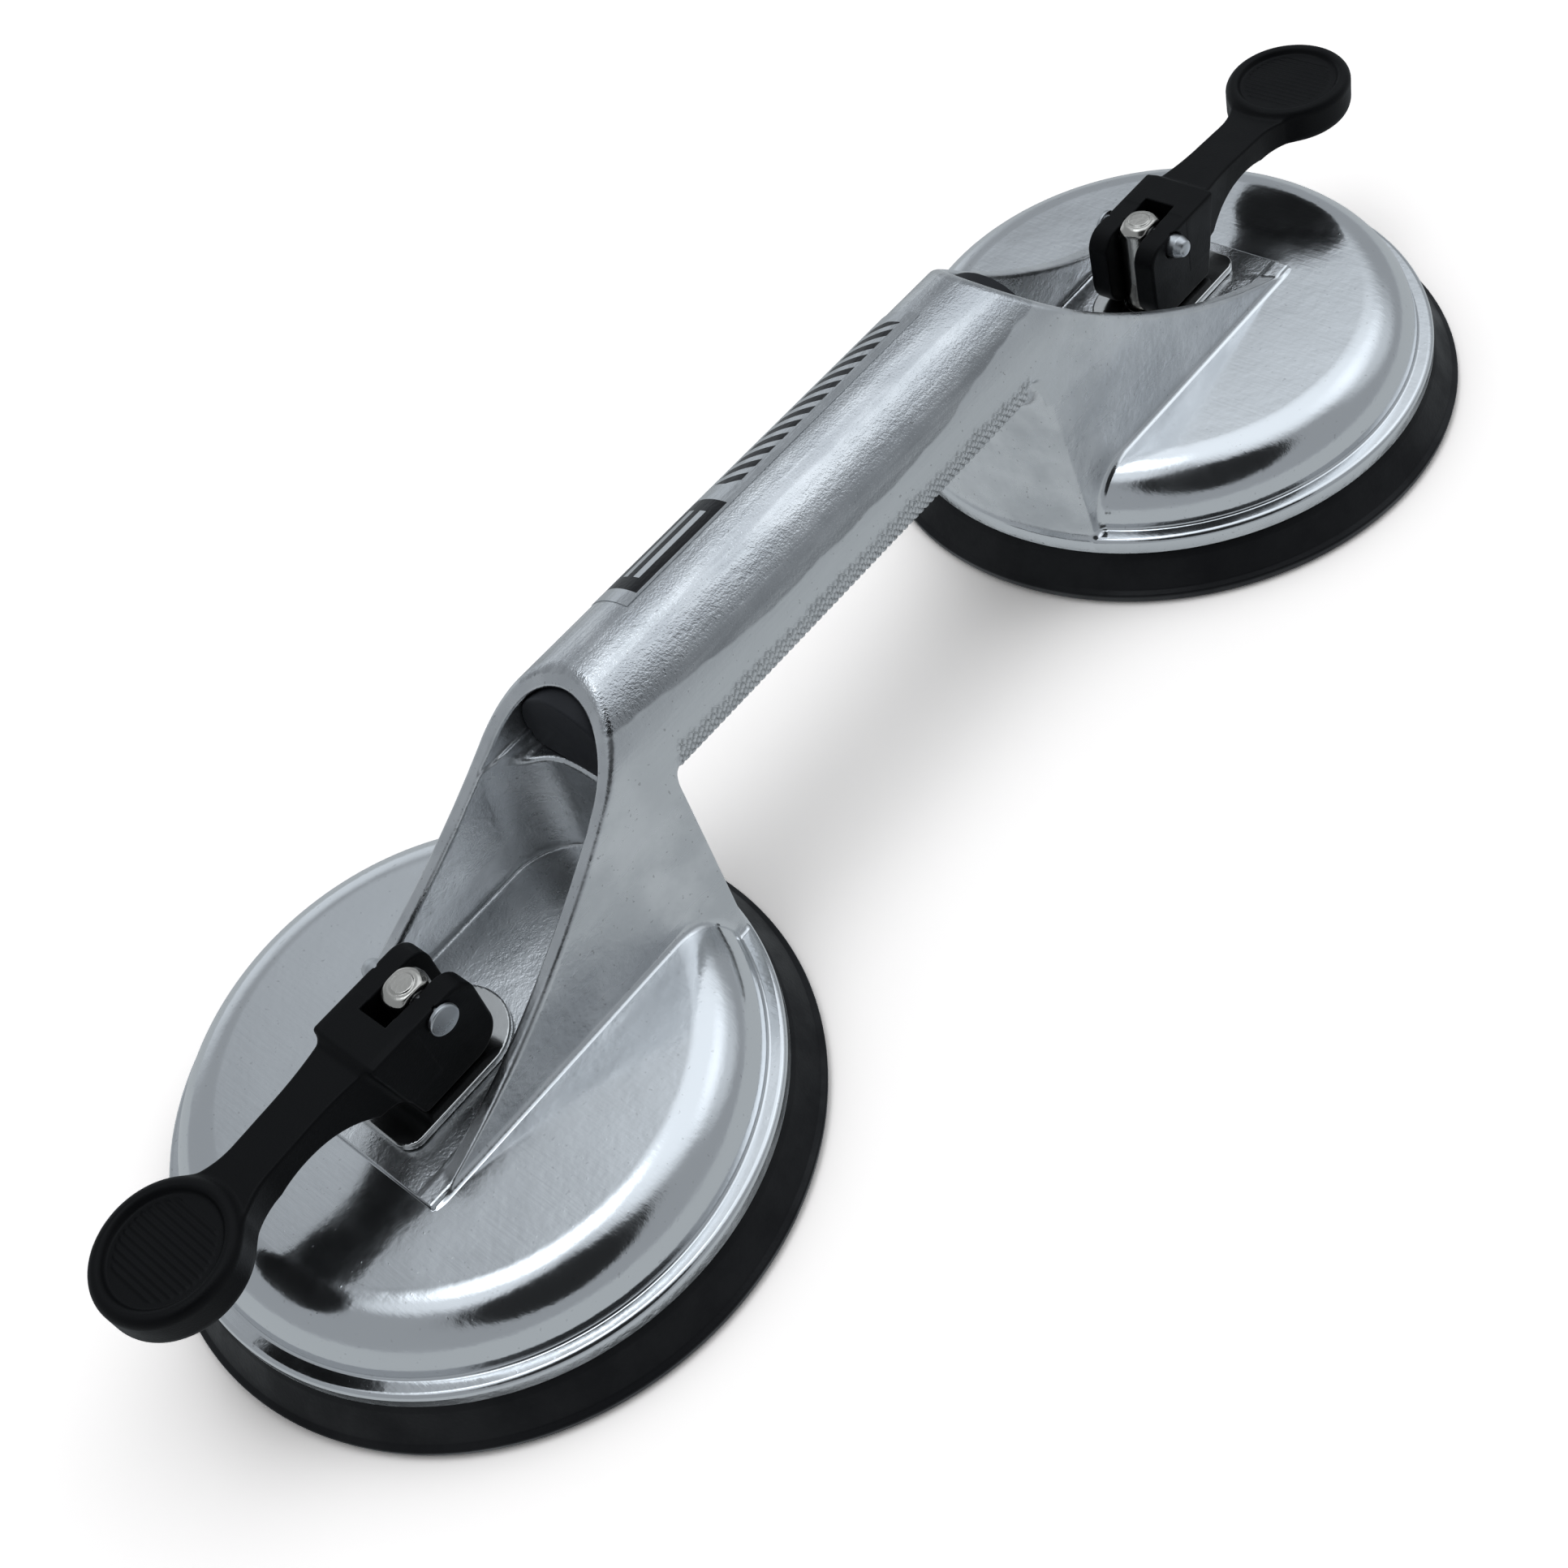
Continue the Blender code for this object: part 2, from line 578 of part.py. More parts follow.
def build_lever(prefix, hinge):
    """Fork lever with its hinge axis as the origin, modelled with u = -X."""
    side_view = [(-u, v) for u, v in block_profile()]
    block = prism("lever", side_view, -BLOCK_HALF_WIDTH, BLOCK_HALF_WIDTH, along_y)
    lever = new_object(f"{prefix}_lever", block, hinge, LEVER_PLASTIC)

    side_view = [(-u, v) for u, v in arm_profile()]
    arm = helper(f"{prefix}_arm", prism("arm", side_view, -THUMB_FILLET, THUMB_FILLET, along_y), hinge)
    plan = [(-u, y) for u, y in arm_plan()]
    high = 2.0 * CAM_DROP
    plan_block = helper(f"{prefix}_arm_plan", prism("arm_plan", plan, -high, high, along_z), hinge)
    combine(arm, "INTERSECT", plan_block)
    combine(lever, "UNION", arm)

    pad_outline = [
        (0.0, THUMB_BOTTOM - THUMB_RIM),
        (THUMB_RADIUS - 4.0 * THUMB_RIM, THUMB_BOTTOM - THUMB_RIM),
        (THUMB_RADIUS, THUMB_BOTTOM + 2.0 * THUMB_RIM),
        (THUMB_RADIUS + THUMB_RIM, THUMB_TOP - 3.0 * THUMB_RIM),
        (THUMB_RADIUS, THUMB_TOP - THUMB_RIM),
        (THUMB_RADIUS - THUMB_RIM, THUMB_TOP),
        (THUMB_DISH_RADIUS, THUMB_TOP),
        (THUMB_DISH_RADIUS - EDGE, THUMB_TOP - THUMB_DISH_DEPTH),
        (0.0, THUMB_TOP - THUMB_DISH_DEPTH),
    ]
    pad = helper(f"{prefix}_thumb_pad", turned("thumb_pad", pad_outline, THUMB_STEPS), hinge)
    pad.location.x = -THUMB_REACH
    combine(lever, "UNION", pad)

    clear = 2.0 * CAM_INNER
    slot_outline = [(-SLOT_END, -high), (clear, -high), (clear, high), (-SLOT_END, high)]
    slot = prism("lever_slot", slot_outline, -SLOT_HALF_WIDTH, SLOT_HALF_WIDTH, along_y)
    combine(lever, "DIFFERENCE", helper(f"{prefix}_lever_slot", slot, hinge))
    bore = rod_along_y(f"{prefix}_lever_bore", PIN_BORE_RADIUS, -2.0 * PIN_TIP, 2.0 * PIN_TIP, hinge)
    combine(lever, "DIFFERENCE", bore)
    seat = BLOCK_HALF_WIDTH - COUNTERBORE_DEPTH
    counterbore = rod_along_y(f"{prefix}_counterbore", COUNTERBORE_RADIUS, seat, 2.0 * PIN_TIP, hinge)
    combine(lever, "DIFFERENCE", counterbore)


def build_cup(prefix, x, turn):
    cup = new_empty(f"{prefix}_cup_axis", (x, 0.0, 0.0))
    cup.rotation_euler.z = turn
    moving = new_empty(f"{prefix}_post_axis", (0.0, 0.0, PIN_Z), cup)
    hinge = new_empty(f"{prefix}_lever_axis", (0.0, 0.0, 0.0), moving)
    build_rubber_pad(prefix, cup)
    build_wear_washer(prefix, cup)
    build_backing_plate(prefix, moving)
    build_post(prefix, moving)
    build_pivot_pin(prefix, moving)
    build_lever(prefix, hinge)


def main():
    clear_scene()
    build_casting()
    build_plugs()
    build_label()
    build_cup("left", -CUP_SPACING / 2.0, 0.0)
    build_cup("right", CUP_SPACING / 2.0, math.pi)


main()
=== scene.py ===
import json
import math

import bpy
import numpy as np
from mathutils import Matrix, Vector


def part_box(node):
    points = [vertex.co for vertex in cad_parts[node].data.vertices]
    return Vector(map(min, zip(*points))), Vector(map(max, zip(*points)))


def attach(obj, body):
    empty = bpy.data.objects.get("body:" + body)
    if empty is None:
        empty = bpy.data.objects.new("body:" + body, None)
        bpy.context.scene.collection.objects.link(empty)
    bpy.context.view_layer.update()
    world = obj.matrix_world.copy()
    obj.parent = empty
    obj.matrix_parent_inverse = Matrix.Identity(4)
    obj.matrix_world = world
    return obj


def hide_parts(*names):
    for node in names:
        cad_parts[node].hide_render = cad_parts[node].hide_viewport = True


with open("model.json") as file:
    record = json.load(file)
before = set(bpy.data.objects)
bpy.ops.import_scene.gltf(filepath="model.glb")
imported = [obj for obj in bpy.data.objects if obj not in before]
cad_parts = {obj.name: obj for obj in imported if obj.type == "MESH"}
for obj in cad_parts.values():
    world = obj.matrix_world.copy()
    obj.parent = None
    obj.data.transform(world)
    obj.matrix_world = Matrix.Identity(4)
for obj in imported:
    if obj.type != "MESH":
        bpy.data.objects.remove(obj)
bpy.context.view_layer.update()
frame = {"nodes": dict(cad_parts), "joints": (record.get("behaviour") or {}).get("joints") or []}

# Looks of the two-cup suction lifter. Shapes are written as signed distances in millimetres, in the
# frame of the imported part, and turned into fine meshes. Anything negative is inside the solid.

MM = 0.001
JOINTS = {joint["name"]: joint for joint in frame["joints"]}
COARSE = 1.0

CUP_X = abs(JOINTS["left_lever_hinge"]["pos_m"][0]) / MM
PIN_Z = JOINTS["left_lever_hinge"]["pos_m"][2] / MM
CASTING_LOW, CASTING_HIGH = (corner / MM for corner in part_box("body_casting"))
PAD_LOW, PAD_HIGH = (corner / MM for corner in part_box("left_rubber_pad"))
WASHER_LOW, WASHER_HIGH = (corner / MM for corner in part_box("left_wear_washer"))
POST_LOW, POST_HIGH = (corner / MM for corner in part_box("left_post"))
PLUG_LOW, PLUG_HIGH = (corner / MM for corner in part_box("left_handle_plug"))
LABEL_LOW, LABEL_HIGH = (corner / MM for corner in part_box("handle_label"))
PIN_LOW, PIN_HIGH = (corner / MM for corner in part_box("left_pivot_pin"))

# Bells
LIP_RADIUS = CASTING_HIGH.y
SIDE_RADIUS = LIP_RADIUS - 3.2
CROWN_Z = 23.0
SHOULDER = 10.5
LEDGE_Z = 12.3
LIP_BOTTOM = CASTING_LOW.z
BELL_WALL = 2.6
BOSS_RADIUS = 10.0
BOSS_BOTTOM = 17.0
POST_HOLE = 4.6
BELL_INSET = 0.02
SKIRT = 2.2

# Columns and handle
ARCH_RADIUS = 15.1
ARCH_Z = CASTING_HIGH.z - ARCH_RADIUS
DRAFT = math.atan(0.125)
WALL = 3.0
FLOOR_Z = 23.8
FOOT_Z = 10.5
COLUMN_REACH = 54.4
POCKET_REACH = 44.8
POCKET_CORNER = 9.0
TIP_X = 124.0
PLATFORM_X = 124.6
GRIP_EDGE = 52.6
GRIP_HALF = 14.4
GRIP_BOTTOM = 46.5
GRIP_CORNER = 5.0
RIM_TOP = Vector((52.0, 68.6))
RIM_END = Vector((126.5, 21.6))
RIM_SAG = 5.8

# Levers, with u outward from the pin and v up
BLOCK_HALF = 7.6
SLOT_HALF = 3.2
SLOT_END = 7.0
BLOCK_TOP = 2.8
BLOCK_OUTER = 14.2
HEEL = 10.8
CAM_DROP = 15.0
CAM_INNER = 7.4
CAM_ROUND = 6.0
CREST_ROUND = 4.0
ARM_HALF = 4.7
ARM_START = 12.2
ARM_FLARE = 1.5
ARM_FLARE_END = 26.0
ARM_TOP = 1.9
ARM_ROOT = 9.6
ARM_HOLLOW = (29.0, -22.6, 18.0)
THUMB_U = 53.0
THUMB_RADIUS = 12.0
THUMB_RIM = 12.5
THUMB_FILLET = 14.0
THUMB_TOP = 1.2
THUMB_BOTTOM = -6.5
DISH_RADIUS = 9.7
DISH_DEPTH = 1.4
RIB_PITCH = 1.22
RIB_COUNT = 12
BORE = 2.5
COUNTERBORE = 2.6
COUNTERBORE_DEPTH = 0.3


# Distances and meshes


def round_max(a, b, radius):
    """Both of two shapes, with their shared edge rounded."""
    over = np.hypot(np.maximum(a + radius, 0.0), np.maximum(b + radius, 0.0))
    return np.minimum(-radius, np.maximum(a, b)) + over


def round_min(a, b, radius):
    """Either of two shapes, with a fillet where they meet."""
    return -round_max(-a, -b, radius)


def slope_of(distance, points, reach):
    """The distance's gradient at each point."""
    steps = np.eye(3) * reach
    return np.stack([distance(*(points + e).T) - distance(*(points - e).T) for e in steps], 1) / (2.0 * reach)


def settle(distance, points, reach, rounds=3):
    """Moves points onto the surface."""
    for _ in range(rounds):
        slope = slope_of(distance, points, reach)
        size = np.maximum((slope * slope).sum(1), 0.25)
        move = np.clip(distance(*points.T) / size, -2.0 * reach, 2.0 * reach)
        points = points - move[:, None] * slope
    return points


def field_of(distance, axes):
    """The distance over a whole grid, worked out in slabs along X."""
    x, y, z = axes
    slabs = []
    for start in range(0, len(x), 32):
        slab = distance(x[start : start + 32, None, None], y[None, :, None], z[None, None, :])
        slabs.append(np.broadcast_to(slab, (len(x[start : start + 32]), len(y), len(z))).astype(np.float32))
    return np.concatenate(slabs)


def surface_net(distance, low, high, step):
    """Points and quads of the surface of a shape, one point per grid cube that it passes through."""
    axes = [np.arange(a - step, b + 2.0 * step, step) for a, b in zip(low, high)]
    field = field_of(distance, axes)
    inside = field < 0.0
    shape = tuple(n - 1 for n in field.shape)
    corners = [(i, j, k) for i in (0, 1) for j in (0, 1) for k in (0, 1)]
    count = np.zeros(shape, np.uint8)
    for i, j, k in corners:
        count += inside[i : i + shape[0], j : j + shape[1], k : k + shape[2]]
    active = (count > 0) & (count < 8)
    index = np.full(shape, -1, np.int64)
    index[active] = np.arange(active.sum())
    cells = np.argwhere(active)
    total = np.zeros((len(cells), 3))
    hits = np.zeros(len(cells))
    for a in corners:
        for axis in range(3):
            if a[axis]:
                continue
            b = tuple(1 if n == axis else a[n] for n in range(3))
            first = field[tuple((cells + a).T)]
            second = field[tuple((cells + b).T)]
            crossed = (first < 0.0) != (second < 0.0)
            share = np.where(crossed, first / np.where(crossed, first - second, 1.0), 0.0)
            place = np.array(a, float) + share[:, None] * (np.arange(3) == axis)
            total += place * crossed[:, None]
            hits += crossed
    points = cells + total / hits[:, None]
    points = points * step + np.array([a[0] for a in axes])
    quads = []
    for axis in range(3):
        b_axis, c_axis = (axis + 1) % 3, (axis + 2) % 3
        first = inside.take(range(shape[axis]), axis)
        second = inside.take(range(1, shape[axis] + 1), axis)
        nodes = np.argwhere(first != second)
        eb = (np.arange(3) == b_axis).astype(int)
        ec = (np.arange(3) == c_axis).astype(int)
        ring = [index[tuple((nodes - offset).T)] for offset in (eb + ec, ec, 0 * eb, eb)]
        ring = np.stack(ring, 1)
        outward = first[tuple(nodes.T)]
        ring[~outward] = ring[~outward][:, ::-1]
        quads.append(ring)
    return points, np.concatenate(quads)


def even_out(distance, points, quads, reach, rounds=3):
    """Spreads points evenly along the surface."""
    count = len(points)
    near = np.concatenate([quads[:, i] for i in range(4)] * 2)
    far = np.concatenate([quads[:, (i + 1) % 4] for i in range(4)] + [quads[:, (i + 3) % 4] for i in range(4)])
    links = np.bincount(near, minlength=count)
    for _ in range(rounds):
        mean = np.stack([np.bincount(near, points[far, k], count) for k in range(3)], 1) / links[:, None]
        slope = slope_of(distance, points, reach)
        slope /= np.maximum(np.linalg.norm(slope, axis=1), 1e-6)[:, None]
        move = mean - points
        move -= (move * slope).sum(1)[:, None] * slope
        points = settle(distance, points + 0.5 * move, reach, 1)
    return settle(distance, points, reach, 2)


def fill_mesh(name, points, faces):
    mesh = bpy.data.meshes.new(name)
    mesh.from_pydata((points * MM).tolist(), [], faces.tolist())
    mesh.shade_smooth()
    return mesh


def set_normals(mesh, distance, reach):
    """Takes the mesh's normals from the distance itself, so that faces don't show."""
    points = mesh_points(mesh) / MM
    slope = slope_of(distance, points, reach)
    slope /= np.maximum(np.linalg.norm(slope, axis=1), 1e-6)[:, None]
    mesh.normals_split_custom_set_from_vertices(slope.tolist())


def mesh_points(mesh):
    flat = np.zeros(len(mesh.vertices) * 3, np.float32)
    mesh.vertices.foreach_get("co", flat)
    return flat.reshape(-1, 3).astype(float)


def link(name, mesh):
    obj = bpy.data.objects.new(name, mesh)
    bpy.context.scene.collection.objects.link(obj)
    return obj


def thinned(name, mesh, most):
    """The mesh with its flat parts in larger triangles, at most so many in all."""
    triangles = 2 * len(mesh.polygons)
    if triangles <= most:
        return mesh
    obj = link(name, mesh)
    modifier = obj.modifiers.new("thin", "DECIMATE")
    modifier.ratio = most / triangles
    view = bpy.context.evaluated_depsgraph_get()
    view.update()
    thin = bpy.data.meshes.new_from_object(obj.evaluated_get(view))
    bpy.data.objects.remove(obj)
    thin.shade_smooth()
    return thin


def solid(name, distance, low, high, step, most=190000):
    """A fine closed mesh of a shape."""
    step *= COARSE
    points, quads = surface_net(distance, low, high, step)
    points = settle(distance, points, 0.1 * step)
    points = even_out(distance, points, quads, 0.1 * step)
    mesh = thinned(name, fill_mesh(name, points, quads), most)
    set_normals(mesh, distance, 0.05)
    return mesh


def rounded(corners):
    """An outline through (a, b, radius) corners, each rounded to its radius."""
    outline = []
    for i, (a, b, radius) in enumerate(corners):
        here = Vector((a, b))
        before = (Vector(corners[i - 1][:2]) - here).normalized()
        after = (Vector(corners[(i + 1) % len(corners)][:2]) - here).normalized()
        if radius <= 0.0:
            outline.append(here)
            continue
        half = before.angle(after) / 2.0
        back = radius / math.tan(half)
        centre = here + (before + after).normalized() * radius / math.sin(half)
        start = here + before * back - centre
        turn = (here + after * back - centre).angle_signed(start)
        steps = max(3, int(abs(turn) * (6.0 + 2.0 * radius)))
        for k in range(steps + 1):
            angle = turn * k / steps
            cos, sin = math.cos(angle), math.sin(angle)
            outline.append(centre + Vector((start.x * cos - start.y * sin, start.x * sin + start.y * cos)))
    return [(p.x, p.y) for p in outline]


def turned(name, outline, steps=256):
    """A solid turned about Z from (radius, z) points, which end on the axis or go round in a ring."""
    on_axis = outline[0][0] == 0.0
    inner = outline[1:-1] if on_axis else outline
    angles = np.arange(steps) * math.tau / steps
    rings = [np.stack([r * np.cos(angles), r * np.sin(angles), np.full(steps, z)], 1) for r, z in inner]
    i = np.arange(steps)
    j = (i + 1) % steps
    pairs = list(zip(range(len(inner)), range(1, len(inner))))
    if not on_axis:
        pairs.append((len(inner) - 1, 0))
    faces = []
    for a, b in pairs:
        faces += np.stack([a * steps + i, a * steps + j, b * steps + j, b * steps + i], 1).tolist()
    if on_axis:
        first = len(inner) * steps
        top = (len(inner) - 1) * steps
        rings.append(np.array([[0.0, 0.0, outline[0][1]], [0.0, 0.0, outline[-1][1]]]))
        faces += np.stack([np.full(steps, first), j, i], 1).tolist()
        faces += np.stack([top + i, top + j, np.full(steps, first + 1)], 1).tolist()
    mesh = bpy.data.meshes.new(name)
    mesh.from_pydata((np.concatenate(rings) * MM).tolist(), [], faces)
    mesh.shade_smooth()
    mesh.set_sharp_from_angle(angle=math.radians(40.0))
    return mesh


# Casting


def arch(y, z, radius):
    """A half-round arch on two walls that spread downward, tangent to it."""
    rise = z - ARCH_Z
    side = np.abs(y)
    wall = side * math.cos(DRAFT) + rise * math.sin(DRAFT) - radius
    return np.where(rise * math.cos(DRAFT) > side * math.sin(DRAFT), np.hypot(side, rise) - radius, wall)


def grip(y, z, inset):
    """The narrower bar under the handle's arch, and everything above its edge."""
    corner = GRIP_CORNER - inset
    bar = round_max(np.abs(y) - (GRIP_HALF - inset), GRIP_BOTTOM + inset - z, corner)
    return round_min(GRIP_EDGE - z, bar, 0.3)


def rim_disc():
    """Centre and radius of the disc that cuts the columns' open rims, as (x, z, radius)."""
    chord = RIM_END - RIM_TOP
    radius = (chord.length_squared / 4.0 + RIM_SAG**2) / (2.0 * RIM_SAG)
    upward = Vector((-chord.y, chord.x)).normalized()
    centre = (RIM_TOP + RIM_END) / 2.0 + upward * (radius - RIM_SAG)
    return centre.x, centre.y, radius


RIM_X, RIM_Z, RIM_RADIUS = rim_disc()


def bell_shape(across, z):
    bell = round_max(across - SIDE_RADIUS, z - CROWN_Z, SHOULDER)
    lip = round_max(across - LIP_RADIUS, z - LEDGE_Z, 1.1)
    bell = round_min(bell, lip, 0.6)
    return round_max(bell, LIP_BOTTOM - z, 0.3)


def bell_void(across, z):
    void = round_max(across - SIDE_RADIUS + BELL_WALL, z - CROWN_Z + BELL_WALL, SHOULDER - BELL_WALL)
    boss = round_max(across - BOSS_RADIUS, BOSS_BOTTOM - z, 0.8)
    return round_max(void, -boss, 1.0)


def pocket_shape(reach, across, y, z):
    inner = arch(y, z, ARCH_RADIUS - WALL)
    back = round_max(inner, across - POCKET_REACH, POCKET_CORNER)
    pocket = round_max(back, FLOOR_Z - z, 0.9)
    return round_min(pocket, round_max(inner, grip(y, z, WALL), 0.3), 0.9)


def casting_distance(x, y, z):
    """Columns and handle, with a hidden skirt that reaches into the bells' walls."""
    reach = np.abs(x)
    across = np.hypot(reach - CUP_X, y)
    shell = arch(y, z, ARCH_RADIUS)
    body = round_min(grip(y, z, 0.0), across - COLUMN_REACH, 2.5)
    body = round_max(shell, body, 0.7)
    body = np.maximum(body, np.maximum(reach - TIP_X, FOOT_Z - z))
    lean = 0.16 * np.clip((40.0 - z) / 14.0, 0.0, 1.0) * (18.5 - np.abs(y))
    lip = 0.45 + 0.6 * np.clip((z - 26.0) / 6.0, 0.0, 1.0)
    body = round_max(body, RIM_RADIUS - np.hypot(reach - RIM_X, z + lean - RIM_Z), lip)
    slab = round_max(np.maximum(shell, reach - PLATFORM_X), z - FLOOR_Z, 0.25)
    slab = np.maximum(slab, np.maximum(20.0 - z, across - POCKET_REACH))
    skirt = np.minimum(body, slab) - SKIRT
    body = round_min(body, bell_shape(across, z) + BELL_INSET, 1.2)
    body = round_min(body, slab, 0.15)
    body = np.maximum(body, skirt)
    body = round_max(body, 0.3 - bell_void(across, z), 0.6)
    body = round_max(body, -pocket_shape(reach, across, y, z), lip)
    return round_max(body, POST_HOLE - across, 0.3)


def bell_distance(x, y, z):
    """A bell about its own axis."""
    across = np.hypot(x, y)
    shell = round_max(bell_shape(across, z), -bell_void(across, z), 0.3)
    return round_max(shell, POST_HOLE - across, 0.3)


def bell_outline():
    """Closed half section (radius, z, corner radius) of a bell."""
    inner = SIDE_RADIUS - BELL_WALL
    ceiling = CROWN_Z - BELL_WALL
    return [
        (POST_HOLE, BOSS_BOTTOM, 0.3),
        (BOSS_RADIUS, BOSS_BOTTOM, 0.8),
        (BOSS_RADIUS, ceiling, 1.0),
        (inner, ceiling, SHOULDER - BELL_WALL),
        (inner, LIP_BOTTOM, 0.3),
        (LIP_RADIUS, LIP_BOTTOM, 0.3),
        (LIP_RADIUS, LEDGE_Z, 1.1),
        (SIDE_RADIUS, LEDGE_Z, 0.6),
        (SIDE_RADIUS, CROWN_Z, SHOULDER),
        (POST_HOLE, CROWN_Z, 0.3),
    ]


def paint_zones(mesh, offset=0.0):
    """Marks where the finish changes: polished bell, tumbled handle, pocket, underside."""
    x, y, z = (mesh_points(mesh) / MM).T
    reach = np.abs(x + offset)
    across = np.hypot(reach - CUP_X, y)
    bell = np.clip(1.0 - (np.abs(bell_shape(across, z)) - 0.25) / 0.5, 0.0, 1.0)
    bell *= np.clip((z - LEDGE_Z + 3.0) / 1.0, 0.0, 1.0)
    handle = np.clip((62.0 - reach) / 10.0, 0.0, 1.0) * (arch(y, z, ARCH_RADIUS) > -0.8)
    handle *= z > GRIP_BOTTOM - 1.0
    pocket = np.clip(1.0 - np.abs(pocket_shape(reach, across, y, z)) / 0.5, 0.0, 1.0)
    under = np.clip(1.0 - (np.abs(bell_void(across, z)) - 0.3) / 0.5, 0.0, 1.0)
    zones = np.stack([bell, handle, pocket, under], 1).astype(np.float32)
    attribute = mesh.attributes.new("zones", "FLOAT_COLOR", "POINT")
    attribute.data.foreach_set("color", zones.ravel())


def build_casting(material):
    reach = PLATFORM_X + SKIRT + 1.0
    low = (-reach, -24.0, LIP_BOTTOM - 0.5)
    high = (reach, 24.0, CASTING_HIGH.z)
    body = solid("lifter_body", casting_distance, low, high, 0.42)
    paint_zones(body)
    body.materials.append(material)
    casting = link("lifter_body", body)
    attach(casting, "casting")
    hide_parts("body_casting")
    bell = turned("bell", rounded(bell_outline()), 512)
    set_normals(bell, bell_distance, 0.02)
    paint_zones(bell, CUP_X)
    for prefix, x in (("left", -CUP_X), ("right", CUP_X)):
        place(f"{prefix}_bell_shell", bell, 0.0, (x, 0.0, 0.0), "casting", "body_casting", "cast_aluminium", material)


def knurl_profile(step):
    """Points (y, z) and normals down the handle's side, from the arch to the underside, evenly spaced."""
    z = np.arange(58.0, GRIP_BOTTOM + GRIP_CORNER, -0.1)
    corner = np.linspace(0.0, math.pi / 2.0, 60)
    y = np.concatenate([
        np.full(len(z), ARCH_RADIUS - 0.2),
        GRIP_HALF - GRIP_CORNER + GRIP_CORNER * np.cos(corner),
        np.linspace(GRIP_HALF - GRIP_CORNER, 5.5, 30),
    ])
    z = np.concatenate([
        z,
        GRIP_BOTTOM + GRIP_CORNER - GRIP_CORNER * np.sin(corner),
        np.full(30, GRIP_BOTTOM),
    ])
    points = settle(casting_distance, np.stack([0.0 * y, y, z], 1), 0.05, 8)
    length = np.concatenate([[0.0], np.cumsum(np.linalg.norm(np.diff(points, axis=0), axis=1))])
    t = np.arange(0.0, length[-1], step)
    points = np.stack([np.interp(t, length, points[:, k]) for k in range(3)], 1)
    slope = slope_of(casting_distance, points, 0.3)
    return t, points, slope / np.linalg.norm(slope, axis=1)[:, None]


def build_knurl(side, material):
    """A band of diamond knurling along one side of the handle, fading into the cast skin at its top."""
    pitch_along = 1.5
    pitch_around = 1.9
    height = 0.42
    start = 2.4
    half_length = 50.0
    step = 0.21 * COARSE
    around, skin_line, normal_line = knurl_profile(step)
    along = np.arange(-half_length, half_length, step)
    s, t = np.meshgrid(along, around, indexing="ij")
    first = np.abs((s / pitch_along + t / pitch_around) % 1.0 - 0.5) * 2.0
    second = np.abs((s / pitch_along - t / pitch_around) % 1.0 - 0.5) * 2.0
    nearest = np.minimum(first, second)
    diamond = np.minimum(1.8 * nearest, 0.8 + 0.2 * nearest)
    ragged = 0.25 * np.sin(0.31 * s + 1.0) + 0.3 * np.sin(0.83 * s) * np.sin(0.13 * s) + 0.3 * np.sin(2.3 * s)
    upper = np.clip((t - start - ragged) / 1.6, 0.0, 1.0)
    lower = np.clip((around[-1] - 1.0 - t) / 0.8, 0.0, 1.0)
    ends = np.clip((half_length - 1.0 - np.abs(s)) / 1.5, 0.0, 1.0)
    share = upper * lower * ends
    lift = (height * diamond - 0.02) * share - 0.06
    skin = np.stack([s, np.broadcast_to(skin_line[:, 1], s.shape), np.broadcast_to(skin_line[:, 2], s.shape)], 2)
    outer = skin + normal_line[None] * lift[:, :, None]
    inner = skin - normal_line[None] * 0.5
    rows, columns = s.shape
    points = np.concatenate([outer.reshape(-1, 3), inner.reshape(-1, 3)])
    points[:, 1] *= side
    grid = np.arange(rows * columns).reshape(rows, columns)
    top = np.stack([grid[:-1, :-1], grid[1:, :-1], grid[1:, 1:], grid[:-1, 1:]], 2).reshape(-1, 4)
    border = np.concatenate([grid[:, 0], grid[-1, 1:], grid[-2::-1, -1], grid[0, -2:0:-1]])
    back = len(grid.ravel())
    after = np.roll(border, -1)
    walls = np.stack([border, border + back, after + back, after], 1)
    faces = np.concatenate([top, top[:, ::-1] + back, walls])
    if side > 0.0:
        faces = faces[:, ::-1]
    mesh = fill_mesh("knurl", points, faces)
    paint_zones(mesh)
    # How dark each point's groove is painted: partly real dirt, partly painted shade in the grooves.
    groove = np.clip(1.0 - 2.4 * nearest, 0.0, 1.0) * share
    shade = mesh.attributes.new("groove", "FLOAT", "POINT")
    shade.data.foreach_set("value", np.concatenate([groove.ravel(), 0.0 * groove.ravel()]).astype(np.float32))
    mesh.materials.append(material)
    band = link("knurl_left" if side > 0.0 else "knurl_right", mesh)
    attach(band, "casting")


# Mechanism of a cup, shaped for the left cup about its pin or its axis


def arm_plan(u, y):
    """The arm seen from above, flaring into the round thumb pad."""
    side = np.abs(y)
    fillet_y = ARM_HALF + THUMB_FILLET
    fillet_u = THUMB_U - math.sqrt((THUMB_RADIUS + THUMB_FILLET) ** 2 - fillet_y**2)
    half = ARM_HALF + ARM_FLARE * np.clip((ARM_FLARE_END - u) / (ARM_FLARE_END - ARM_START), 0.0, 1.0) ** 2
    strip = np.maximum(side - half, u - THUMB_U)
    disc = np.hypot(u - THUMB_U, side) - THUMB_RADIUS
    under = (u - fillet_u) * fillet_y + (side - fillet_y) * (THUMB_U - fillet_u) < 0.0
    flare = THUMB_FILLET - np.hypot(u - fillet_u, side - fillet_y)
    flare = np.where((u > fillet_u) & under, flare, 1e3)
    return np.minimum(np.minimum(strip, disc), flare)


